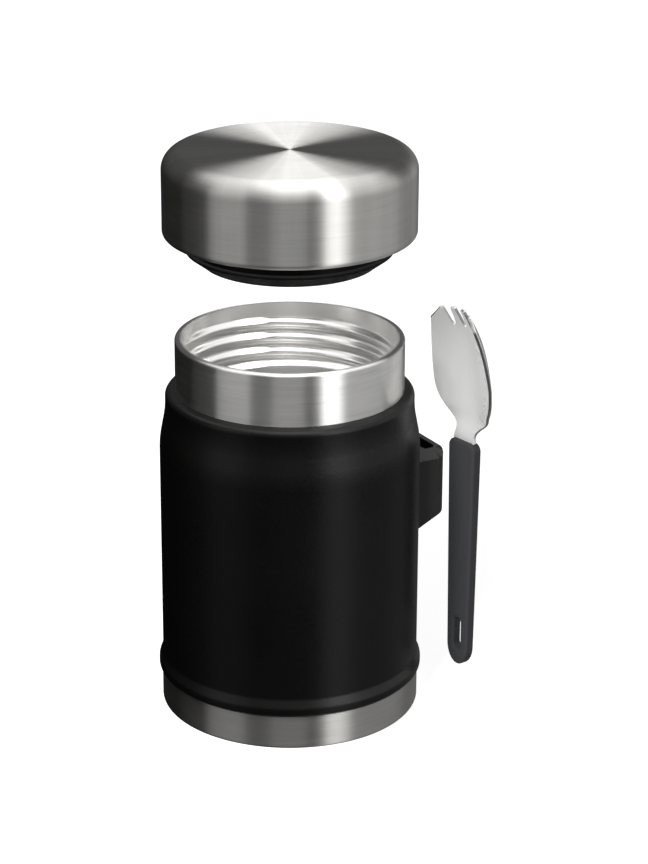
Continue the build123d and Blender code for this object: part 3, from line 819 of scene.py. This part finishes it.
# ---- Jar ----
def make_body(jar, finishes):
    gap, wall = jar.press_gap, jar.wall
    tuck = jar.body_radius + jar.base_proud - wall - gap
    bead = jar.body_radius + jar.bead_proud
    bead_foot = top("base_cup") + gap + jar.tuck_bend
    lip = jar.body_radius - jar.shoulder_drop
    neck_foot = top("body_shell")
    points = [
        (tuck, foot("body_shell")),
        (tuck, bead_foot),
        (bead, bead_foot),
        (bead, bead_foot + jar.bead_flat),
        (jar.body_radius, bead_foot + jar.bead_flat + jar.bead_slope),
        (jar.body_radius, jar.shoulder_height),
        (lip, jar.shoulder_height + jar.shoulder_rise),
        (lip, neck_foot - jar.lip_drop),
        (reach("neck_band") + gap, neck_foot),
    ]
    bead_bends = [jar.bead_bend, jar.bead_top_bend, jar.bead_top_bend]
    bends = [jar.tuck_bend, *bead_bends, jar.shoulder_bend, jar.shoulder_bend, jar.lip_bend]
    coat = powder_coat(finishes)
    spun_sheet("painted_body", points, bends, wall, coat, "jar", "powder_coat", "body_shell")


def make_neck(jar, liner, finishes):
    radius = reach("neck_band")
    points = [
        (radius, foot("neck_band")),
        (radius, top("neck_band")),
        (liner.bore + liner.wall + jar.press_gap, top("neck_band")),
    ]
    steel = neck_steel_painted_light(finishes)
    spun_sheet("bare_neck", points, jar.rim_bend, jar.wall, steel, "jar", "brushed_steel", "neck_band")


def make_base(jar, finishes):
    radius = reach("base_cup")
    ring = radius - jar.foot_width
    points = [
        (0, jar.foot_recess),
        (ring - jar.foot_recess, jar.foot_recess),
        (ring, 0),
        (radius, 0),
        (radius, top("base_cup")),
    ]
    bends = [jar.recess_bend, jar.recess_bend, jar.foot_bend]
    steel = base_steel_painted_shade(finishes)
    spun_sheet("bare_base", points, bends, jar.wall, steel, "jar", "brushed_steel", "base_cup")


def make_liner(liner, finishes):
    rim = top("inner_liner")
    ledge = rim - liner.ledge_depth
    throat = ledge - liner.ledge_slope
    floor = foot("inner_liner") + liner.wall
    points = [
        (liner.bore, rim),
        (liner.bore, ledge),
        (liner.throat, throat),
        (liner.throat, throat - liner.throat_length),
        (liner.vessel, throat - liner.throat_length - liner.throat_flare),
        (liner.vessel, floor),
        (0, floor),
    ]
    bends = [liner.bend] * 4 + [liner.vessel_bend]
    upper = rim - liner.rib_depth + liner.rib_base
    lower = rim - liner.rib_depth - liner.rib_turns * liner.lead - liner.rib_base
    line = divided(rounded_line(points, bends), lower, upper, LINER_THREAD_ROWS)
    mesh = turned_mesh("threaded_liner", sheet_section(line, liner.wall))
    piece = shown("threaded_liner", mesh, liner_steel(finishes))
    roll_thread(
        piece, lead=liner.lead, height=-liner.rib_height, base=liner.rib_base, top=rim - liner.rib_depth,
        turns=liner.rib_turns, end=liner.rib_end, fade=liner.fade, inner_limit=0.0,
        material=liner_steel(finishes),
    )
    fit(piece, "jar", "liner_steel", "inner_liner")


# ---- Lid ----
def make_lid_shell(lid, finishes):
    radius, hem, crown = reach("lid_shell"), foot("lid_shell"), top("lid_shell")
    points = [(radius - lid.hem_width, hem), (radius, hem), (radius, crown), (0, crown)]
    bends = [lid.hem_bend, lid.crown_bend]
    steel = lid_steel(finishes)
    piece = spun_sheet("spun_lid", points, bends, lid.wall, steel, "lid", "lid_steel", "lid_shell")
    unmirrored(piece, frame["nodes"]["lid_core"], frame["nodes"]["lid_cover"])


def make_plug(liner, lid, finishes):
    nose, cover, hem = foot("lid_plug"), top("lid_plug"), foot("lid_shell")
    seat = nose + lid.nose_lip
    seal_top = top("lid_seal") + (foot("lid_seal") - seat)
    shoulder = lid.nose_shoulder - lid.plug_wall
    flange, brim = cover - lid.flange, reach("lid_plug")
    inside, deep = lid.plug_radius - lid.plug_wall, lid.nose_radius - lid.plug_wall
    points = [
        (0, nose),
        (lid.nose_lip_radius, nose),
        (lid.nose_lip_radius, seat),
        (lid.nose_radius, seat),
        (lid.nose_radius, seal_top),
        (lid.nose_shoulder, seal_top),
        (lid.nose_shoulder, hem),
        (lid.plug_radius, hem + lid.plug_radius - lid.nose_shoulder),
        (lid.plug_radius, flange),
        (brim, flange),
        (brim, cover),
        (inside, cover),
        (inside, hem + lid.plug_wall),
        (shoulder, hem + lid.plug_wall),
        (shoulder, seal_top + lid.plug_wall),
        (deep, seal_top + lid.plug_wall),
        (deep, nose + lid.plug_wall),
        (0, nose + lid.plug_wall),
    ]
    # The plug's rib runs midway between two turns of the neck's rib
    rib_top = top("inner_liner") - liner.rib_depth + liner.lead / 2 + LID_TRAVEL
    line = rounded_line(points, lid.edge_bend)
    rib_foot = rib_top - lid.rib_turns * liner.lead
    line = divided(line, rib_foot - lid.rib_base, rib_top + lid.rib_base, PLUG_THREAD_ROWS)
    mesh = turned_mesh("lid_plug_moulding", [place for place, _ in line])
    piece = shown("lid_plug_moulding", mesh, plug_plastic(finishes))
    roll_thread(
        piece, lead=liner.lead, height=lid.rib_height, base=lid.rib_base, top=rib_top, turns=lid.rib_turns,
        end=liner.rib_end, fade=liner.fade, inner_limit=lid.plug_radius - lid.plug_wall / 2,
        material=plug_plastic(finishes),
    )
    unmirrored(fit(piece, "lid", "plug_plastic", "lid_plug"))


def make_seal(lid, finishes):
    low, high, outer = foot("lid_seal"), top("lid_seal"), reach("lid_seal")
    inner = lid.nose_radius + (foot("lid_seal") - foot("lid_plug") - lid.nose_lip)
    taper_top = low + lid.seal_taper
    points = [(inner, low), (lid.seal_foot, low), (outer, taper_top), (outer, high), (inner, high)]
    line = rounded_line(points, lid.seal_bend)
    mesh = turned_mesh("seal_ring", [place for place, _ in line])
    unmirrored(fit(shown("seal_ring", mesh, seal_rubber(finishes)), "lid_ring", "seal_rubber", "lid_seal"))


def travel(name):
    """The whole travel of a slide, in metres."""
    low, high = next(joint for joint in frame["joints"] if joint["name"] == name)["range_m"]
    return high - low


LID_TRAVEL = travel("lid_lift")


# ---- Spork: made with its lower end at the origin and its bowl open towards -X, then placed ----
# Middle line of the head, as shares of its length and of the bowl's depth
BOWL_LINE = [
    (0.0, 0.0), (0.03, 0.0), (0.1, 0.41), (0.2, 0.765), (0.31, 0.935),
    (0.45, 0.91), (0.62, 0.685), (0.8, 0.12), (0.92, -0.575), (1.02, -1.315),
]
# Side of the head above its neck, as shares of its length and of the half width
HEAD_SIDE = [(0.15, 0.615), (0.2, 0.74), (0.27, 0.89), (0.38, 0.995), (0.57, 0.99), (0.76, 0.892)]
NECK_SHARE = 0.065
BOWL_FROM, BOWL_FULL = 0.03, 0.25       # the section takes its curve over this stretch
TINE_FROM, TINE_FULL = 0.45, 0.92       # and tightens towards the tines over this one
TINES = 4
CURVE_SAMPLES = 16                      # in each stretch of a curve
BOWL_ROWS, TINE_ROWS = 64, 10
TINE_COLUMNS, SLOT_COLUMNS = 8, 6
EDGE_CORNER = radians(50)               # corners sharper than this get the small edge rounding


def smooth_curve(points):
    """Samples of the smooth curve through points, with no bend at its two ends."""
    points = np.array(points, float)
    at = np.concatenate([[0.0], np.cumsum(np.hypot(*np.diff(points, axis=0).T))])
    step = np.diff(at)
    count = len(points)
    system, wanted = np.eye(count), np.zeros((count, 2))
    for i in range(1, count - 1):
        system[i, i - 1:i + 2] = step[i - 1], 2 * (step[i - 1] + step[i]), step[i]
        slopes = (points[i + 1] - points[i]) / step[i] - (points[i] - points[i - 1]) / step[i - 1]
        wanted[i] = 6 * slopes
    bend = np.linalg.solve(system, wanted)
    samples = []
    for i, length in enumerate(step):
        for t in np.linspace(0.0, 1.0, CURVE_SAMPLES):
            s = 1 - t
            curved = (s**3 - s) * bend[i] + (t**3 - t) * bend[i + 1]
            samples.append(s * points[i] + t * points[i + 1] + curved * length**2 / 6)
    return np.array(samples)


def spork_place(spork):
    stand = Matrix.Translation((spork.place_x, spork.place_y, foot("spork_handle")))
    return stand @ Matrix.Rotation(spork.turn, 4, "Z")


class HeadShape:
    """Outline and bowl of the spork's head, by height above the head's root."""

    def __init__(self, spork):
        self.spork = spork
        length = spork.head_length
        self.root = length - spork.tine_length
        self.shoulder = length - spork.shoulder_drop
        side = [(0.0, spork.root_width / 2), (NECK_SHARE * length, spork.neck_width / 2)]
        side += [(at * length, width * spork.head_width / 2) for at, width in HEAD_SIDE]
        self.side = smooth_curve([*side, (self.shoulder, spork.shoulder_width / 2)])
        self.bowl = smooth_curve([(at * length, depth * spork.bowl_depth) for at, depth in BOWL_LINE])

    def half_width(self, height):
        spork = self.spork
        if height < 0:
            return spork.tang_width / 2
        if height <= self.shoulder:
            return float(np.interp(height, self.side[:, 0], self.side[:, 1]))
        tip = spork.head_length - spork.outer_drop
        widths = (spork.shoulder_width / 2, spork.tips_width / 2)
        return float(np.interp(height, (self.shoulder, tip), widths))

    def slot_edges(self, height):
        """Both edges of each slot; below the slots they follow the head's width."""
        spork = self.spork
        along = min(1.0, max(0.0, (height - self.root) / spork.tine_length))
        gap = spork.slot_root + (spork.slot_mouth - spork.slot_root) * along
        narrow = 1.0
        if height < self.root:
            narrow = min(1.0, self.half_width(height) / self.half_width(self.root))
        edges = []
        for index in range(TINES - 1):
            middle = (index - (TINES - 2) / 2) * spork.tine_pitch
            edges += [(middle - gap / 2) * narrow, (middle + gap / 2) * narrow]
        return edges

    def edges(self, height):
        """The head's two sides with the slots' edges between them."""
        half = self.half_width(height)
        return [-half, *self.slot_edges(height), half]

    def tip_height(self, y):
        spork = self.spork
        drop = np.interp(abs(y), (spork.crown_width / 2, spork.tips_width / 2), (0.0, spork.outer_drop))
        return spork.head_length - float(drop)

    def place(self, y, height):
        """The middle of the sheet."""
        spork = self.spork
        at = height / spork.head_length
        depth = float(np.interp(height, self.bowl[:, 0], self.bowl[:, 1])) if height > 0 else 0.0
        flat = 1 - float(np.interp(at, (BOWL_FROM, BOWL_FULL), (0.0, 1.0)))
        bend = float(np.interp(at, (TINE_FROM, TINE_FULL), (spork.bowl_bend, spork.tine_bend)))
        bend += (spork.flat_bend - bend) * flat**3
        return Vector((depth - bend + sqrt(bend * bend - y * y), y, spork.handle_length + height))


def head_sheet(spork):
    """The middle of the head's sheet, as one mesh: the bowl, then a strip for each tine."""
    shape = HeadShape(spork)
    low_rows = [-spork.tang_length, -spork.tang_length / 2, -1.0 * MM, 0.0]
    last = shape.root - 1.5 * spork.slot_root / 2
    heights = low_rows + [last * k / BOWL_ROWS for k in range(1, BOWL_ROWS + 1)] + [shape.root]
    work = bmesh.new()
    thick = work.verts.layers.deform.verify()

    def point(y, height):
        vertex = work.verts.new(shape.place(y, height))
        vertex[thick][0] = spork.tang_sheet / spork.sheet if height < 0 else 1.0
        return vertex

    rows = []
    for height in heights:
        edges = shape.edges(height)
        row = []
        for index, (a, b) in enumerate(zip(edges, edges[1:])):
            columns = SLOT_COLUMNS if index % 2 else TINE_COLUMNS
            for k in range(columns):
                y = a + (b - a) * k / columns
                dip = 0.0
                if index % 2 and height == shape.root:
                    from_middle = (2 * k / columns - 1) * spork.slot_root / 2
                    dip = sqrt((spork.slot_root / 2) ** 2 - from_middle**2)
                row.append(point(y, height - dip))
        row.append(point(edges[-1], height))
        rows.append(row)
    for low, high in zip(rows, rows[1:]):
        for corners in zip(low, low[1:], high[1:], high):
            work.faces.new(corners)
    for tine in range(TINES):
        start = tine * (TINE_COLUMNS + SLOT_COLUMNS)
        low = rows[-1][start:start + TINE_COLUMNS + 1]
        for step in range(1, TINE_ROWS + 1):
            high = []
            for k in range(TINE_COLUMNS + 1):
                def across(height):
                    left, right = shape.edges(height)[2 * tine:2 * tine + 2]
                    return left + (right - left) * k / TINE_COLUMNS

                tip = shape.tip_height(across(spork.head_length))
                height = shape.root + (tip - shape.root) * step / TINE_ROWS
                high.append(point(across(height), height))
            for corners in zip(low, low[1:], high[1:], high):
                work.faces.new(corners)
            low = high
    work.transform(spork_place(spork))
    mesh = bpy.data.meshes.new("spork_steel_head")
    work.to_mesh(mesh)
    work.free()
    return mesh


def make_spork_head(spork, finishes):
    piece = shown("spork_steel_head", head_sheet(spork), spork_steel(finishes))
    # The sheet's edge gets the darker edge material: painted shade.
    piece.data.materials.append(edge_steel_painted_shade(finishes))
    piece.vertex_groups.new(name="thickness")
    sheet = piece.modifiers.new("Sheet", "SOLIDIFY")
    sheet.thickness = spork.sheet
    sheet.offset = 0.0
    sheet.vertex_group = "thickness"
    sheet.material_offset_rim = 1
    edge = piece.modifiers.new("Edge", "BEVEL")
    edge.width = spork.sheet / 5
    edge.segments = 2
    edge.limit_method = "ANGLE"
    edge.angle_limit = EDGE_CORNER
    edge.use_clamp_overlap = False
    piece.modifiers.new("Even shading", "WEIGHTED_NORMAL")
    fit(applied(piece), "spork", "spork_steel", "spork_head")


def make_spork_handle(spork, finishes):
    piece = smooth_copy("spork_grip", "spork_handle", handle_plastic(finishes))
    fit(piece, "spork", "handle_plastic", "spork_handle")


def make_sleeve(finishes):
    piece = smooth_copy("sleeve_moulding", "spork_sleeve", sleeve_plastic(finishes))
    fit(piece, "jar", "sleeve_plastic", "spork_sleeve")


# ---- Solids that keep their shape and get a finish ----
INNER_PARTS = {
    "liner_foil": foil, "vacuum_floor": plain_steel, "vacuum_seal": sealing_glass,
    "getter": getter_metal, "getter_clip": plain_steel, "sleeve_bracket": plain_steel,
    "sleeve_screws": plain_steel, "lid_core": foam, "lid_cover": plug_plastic,
}


def dress_inner_parts(finishes):
    for node, finish in INNER_PARTS.items():
        solid = frame["nodes"][node]
        if not solid.material_slots:
            solid.data.materials.append(None)
        for slot in solid.material_slots:
            slot.material = finish(finishes)


# ---- Studio ----
# Cards and lights that bare metal mirrors, seen from the jar: azimuth from and to, 0 towards the camera and
# rising to its right, elevation from and to, softness of the edges, all in degrees, and brightness. Later
# ones lie over earlier ones, and what lies under the ceiling gets lighter with height.
CARDS = [
    ("left wall", -76, -39, -91, 45, 4, 0.41),
    ("right wall", 40, 150, -91, 45, 16, 0.50),
    ("dark left", -181, -76, -91, 45, 4, 0.05),
    ("black left", -181, -110, -91, 45, 5, 0.008),
    ("left gap", -39, -17, -91, 45, 2, 0.11),
    ("right gap", 15, 30, -91, 45, 3, 0.03),
    ("dark back", 115, 181, 4, 42, 10, 0.05),
    ("dark back left", -181, -115, 4, 42, 10, 0.05),
    ("ceiling", -181, 181, 43, 91, 14, 1.6),
    ("strip light", 32, 53, -91, 0, 9, 0.95),
    ("upper strip", 32, 53, 0, 70, 9, 4.4),
]
BACK_WALL = 0.235
WALL_FOOT, WALL_HEAD = 0.42, 2.1    # how much the walls are darkened and lightened
RISE_FROM, RISE_TO = radians(-16), radians(4)    # elevations between which they change
CEILING_STRIP = 3.1                 # brightness of a slim light straight over the jar
STRIP_NEAR, STRIP_OVER = 0.62, 0.8  # height of the mirrored direction where it sets in, and is full
STRIP_CORE, STRIP_SIDE = 0.16, 0.34 # sideways part of that direction where it is full, and has ended
FLOOR_GLOW = 0.81                   # what the floor gives off where it is seen, so that it looks white
WHITE = (1.0, 1.0, 1.0, 1.0)


def cards_level(graph, azimuth, elevation, direction):
    """Brightness of the cards for a mirrored ray."""
    result = BACK_WALL
    rise = graph.spread(elevation, RISE_FROM, RISE_TO, WALL_FOOT, WALL_HEAD, smooth=True)
    for name, left, right, low, high, soft, bright in CARDS:
        if name == "ceiling":
            result = graph.times(result, rise)
        mask = 1.0
        edges = [(azimuth, left, 1), (azimuth, right, 0), (elevation, low, 1), (elevation, high, 0)]
        for value, edge, rising in edges:
            half = radians(soft) / 2
            at = radians(edge)
            step = graph.spread(value, at - half, at + half, 1.0 - rising, float(rising), smooth=True)
            mask = graph.times(step, mask)
        change = graph.minus(bright, result)
        result = graph.math("MULTIPLY_ADD", change, mask, result)
    x, _, z = direction
    overhead = graph.spread(z, STRIP_NEAR, STRIP_OVER, smooth=True)
    slim = graph.spread(graph.math("ABSOLUTE", x), STRIP_CORE, STRIP_SIDE, 1.0, 0.0, smooth=True)
    strip = graph.times(overhead, slim)
    return graph.math("MULTIPLY_ADD", graph.minus(CEILING_STRIP, result), strip, result)


def make_world(studio):
    """White for the camera; cards for mirrored rays; an even fill for the rest."""
    world = bpy.data.worlds.new("studio")
    world.use_nodes = True
    bpy.context.scene.world = world
    graph = Graph(world.node_tree)
    direction = graph.add("ShaderNodeTexCoord").outputs["Generated"]
    facing = graph.add(
        "ShaderNodeVectorRotate", {"Vector": direction, "Angle": -studio.azimuth}, rotation_type="Z_AXIS"
    ).outputs[0]
    x, y, z = graph.separate(facing)
    azimuth = graph.math("ARCTAN2", x, graph.times(y, -1.0))
    elevation = graph.math("ARCSINE", z)
    path = graph.add("ShaderNodeLightPath").outputs
    cards = cards_level(graph, azimuth, elevation, (x, y, z))
    seen = graph.math("MAXIMUM", path["Is Camera Ray"], path["Is Transmission Ray"])
    mirrored = graph.times(path["Is Glossy Ray"], cards)
    other = graph.minus(1.0, graph.math("MAXIMUM", seen, path["Is Glossy Ray"]))
    strength = graph.plus(graph.plus(seen, mirrored), graph.times(other, studio.fill))
    background = world.node_tree.nodes["Background"]
    background.inputs["Color"].default_value = WHITE
    world.node_tree.links.new(strength, background.inputs["Strength"])


def make_floor(studio):
    half = studio.floor_size / 2
    mesh = bpy.data.meshes.new("floor")
    corners = [(-half, -half, 0), (half, -half, 0), (half, half, 0), (-half, half, 0)]
    mesh.from_pydata(corners, [], [(0, 1, 2, 3)])
    floor = bpy.data.objects.new("floor", mesh)
    bpy.context.scene.collection.objects.link(floor)
    material, graph, coordinates, link = finish_material(
        "floor_paper", roughness=0.9, specular_ior_level=0.0
    )
    tooth = graph.noise(coordinates, 900.0, 2.0)
    link(base_color=graph.tint((0.80, 0.80, 0.80), graph.vary(tooth, 0.995, 1.005)))
    shader = material.node_tree.nodes["Principled BSDF"]
    path = graph.add("ShaderNodeLightPath").outputs
    shader.inputs["Emission Color"].default_value = WHITE
    seen = graph.math("MAXIMUM", path["Is Camera Ray"], path["Is Transmission Ray"])
    glow = graph.times(seen, FLOOR_GLOW)
    material.node_tree.links.new(glow, shader.inputs["Emission Strength"])
    mesh.materials.append(material)
    floor.visible_glossy = False


KEY_SIDE, KEY_DISTANCE, KEY_HEIGHT = 0.45, 0.85, 0.75   # of the square lamp, in metres
KEY_AZIMUTH = radians(-30)          # from the camera's direction, to the left
KEY_AIM = Vector((0, 0, 0.1))       # near the middle of the jar


def round_jar(azimuth, distance, height):
    """A place at a distance from the jar's axis; azimuth 0 is towards -Y."""
    return Vector((sin(azimuth) * distance, -cos(azimuth) * distance, height))


def set_up(name, data, place, direction):
    """A lamp or camera that stands at a place and looks in a direction."""
    thing = bpy.data.objects.new(name, data)
    thing.matrix_world = Matrix.Translation(place) @ direction.to_track_quat("-Z", "Y").to_matrix().to_4x4()
    bpy.context.scene.collection.objects.link(thing)
    return thing


def make_lamp(studio):
    place = round_jar(studio.azimuth + KEY_AZIMUTH, KEY_DISTANCE, KEY_HEIGHT)
    data = bpy.data.lights.new("key", "AREA")
    data.size = KEY_SIDE
    data.energy = studio.key
    lamp = set_up("key", data, place, KEY_AIM - place)
    lamp.visible_glossy = False


SENSOR = 36.0                       # the longer side of the camera's sensor, in millimetres
LONGER_SIDE = 864                   # of the rendered picture, in pixels


def make_camera(studio):
    data = bpy.data.cameras.new("camera")
    data.lens = studio.lens
    data.sensor_width = SENSOR
    data.shift_x = studio.axis_left / LONGER_SIDE
    data.clip_start, data.clip_end = 0.05, 50.0
    place = round_jar(studio.azimuth, studio.distance, studio.height)
    look = -round_jar(studio.azimuth, cos(studio.pitch), sin(studio.pitch))
    bpy.context.scene.camera = set_up("camera", data, place, look)


# ---- Operators ----
class FOOD_JAR_OT_stage(bpy.types.Operator):
    """Sets up the camera, the studio's light and the floor"""

    bl_idname = "food_jar.stage"
    bl_label = "Stage"

    def execute(self, context):
        studio = context.scene.food_jar.studio
        make_camera(studio)
        make_world(studio)
        make_floor(studio)
        make_lamp(studio)
        context.scene.view_settings.view_transform = "Standard"
        return {"FINISHED"}


class FOOD_JAR_OT_body(bpy.types.Operator):
    """Makes the powder-coated body with its bead, shoulder and lip"""

    bl_idname = "food_jar.body"
    bl_label = "Painted Body"

    def execute(self, context):
        settings = context.scene.food_jar
        make_body(settings.jar, settings.finishes)
        return {"FINISHED"}


class FOOD_JAR_OT_bands(bpy.types.Operator):
    """Makes the bare neck and the bare base cup"""

    bl_idname = "food_jar.bands"
    bl_label = "Bare Neck and Base"

    def execute(self, context):
        settings = context.scene.food_jar
        make_neck(settings.jar, settings.liner, settings.finishes)
        make_base(settings.jar, settings.finishes)
        return {"FINISHED"}


class FOOD_JAR_OT_liner(bpy.types.Operator):
    """Makes the inner liner and rolls its thread"""

    bl_idname = "food_jar.liner"
    bl_label = "Threaded Liner"

    def execute(self, context):
        settings = context.scene.food_jar
        make_liner(settings.liner, settings.finishes)
        return {"FINISHED"}


class FOOD_JAR_OT_lid(bpy.types.Operator):
    """Makes the lid's spun shell"""

    bl_idname = "food_jar.lid"
    bl_label = "Lid Shell"

    def execute(self, context):
        settings = context.scene.food_jar
        make_lid_shell(settings.lid, settings.finishes)
        return {"FINISHED"}


class FOOD_JAR_OT_plug(bpy.types.Operator):
    """Makes the lid's plug and its seal"""

    bl_idname = "food_jar.plug"
    bl_label = "Plug and Seal"

    def execute(self, context):
        settings = context.scene.food_jar
        make_plug(settings.liner, settings.lid, settings.finishes)
        make_seal(settings.lid, settings.finishes)
        return {"FINISHED"}


class FOOD_JAR_OT_sleeve(bpy.types.Operator):
    """Makes the sleeve that holds the spork"""

    bl_idname = "food_jar.sleeve"
    bl_label = "Spork Sleeve"

    def execute(self, context):
        make_sleeve(context.scene.food_jar.finishes)
        return {"FINISHED"}


class FOOD_JAR_OT_spork(bpy.types.Operator):
    """Makes the spork's steel head and its handle"""

    bl_idname = "food_jar.spork"
    bl_label = "Spork"

    def execute(self, context):
        settings = context.scene.food_jar
        make_spork_head(settings.spork, settings.finishes)
        make_spork_handle(settings.spork, settings.finishes)
        return {"FINISHED"}


class FOOD_JAR_OT_inner_parts(bpy.types.Operator):
    """Gives the hidden inner parts their finishes"""

    bl_idname = "food_jar.inner_parts"
    bl_label = "Inner Parts"

    def execute(self, context):
        dress_inner_parts(context.scene.food_jar.finishes)
        return {"FINISHED"}


STEPS = [
    FOOD_JAR_OT_stage, FOOD_JAR_OT_body, FOOD_JAR_OT_bands, FOOD_JAR_OT_liner, FOOD_JAR_OT_lid,
    FOOD_JAR_OT_plug, FOOD_JAR_OT_sleeve, FOOD_JAR_OT_spork, FOOD_JAR_OT_inner_parts,
]


class FOOD_JAR_PT_panel(bpy.types.Panel):
    """Lists the steps and the settings in the 3D view's sidebar"""

    bl_idname = "FOOD_JAR_PT_panel"
    bl_label = "Food Jar"
    bl_space_type = "VIEW_3D"
    bl_region_type = "UI"
    bl_category = "Food Jar"

    def draw(self, context):
        for step in STEPS:
            self.layout.operator(step.bl_idname)
        for name, group in GROUPS.items():
            box = self.layout.box()
            box.label(text=group.__name__)
            for setting in group.__annotations__:
                box.prop(getattr(context.scene.food_jar, name), setting)


CLASSES = [*GROUPS.values(), FoodJarSettings, *STEPS, FOOD_JAR_PT_panel]


def register():
    for cls in CLASSES:
        bpy.utils.register_class(cls)
    bpy.types.Scene.food_jar = PointerProperty(type=FoodJarSettings)


def unregister():
    del bpy.types.Scene.food_jar
    for cls in reversed(CLASSES):
        bpy.utils.unregister_class(cls)


def main():
    register()
    for step in STEPS:
        group, name = step.bl_idname.split(".")
        getattr(getattr(bpy.ops, group), name)()


if __name__ == "__main__":
    main()
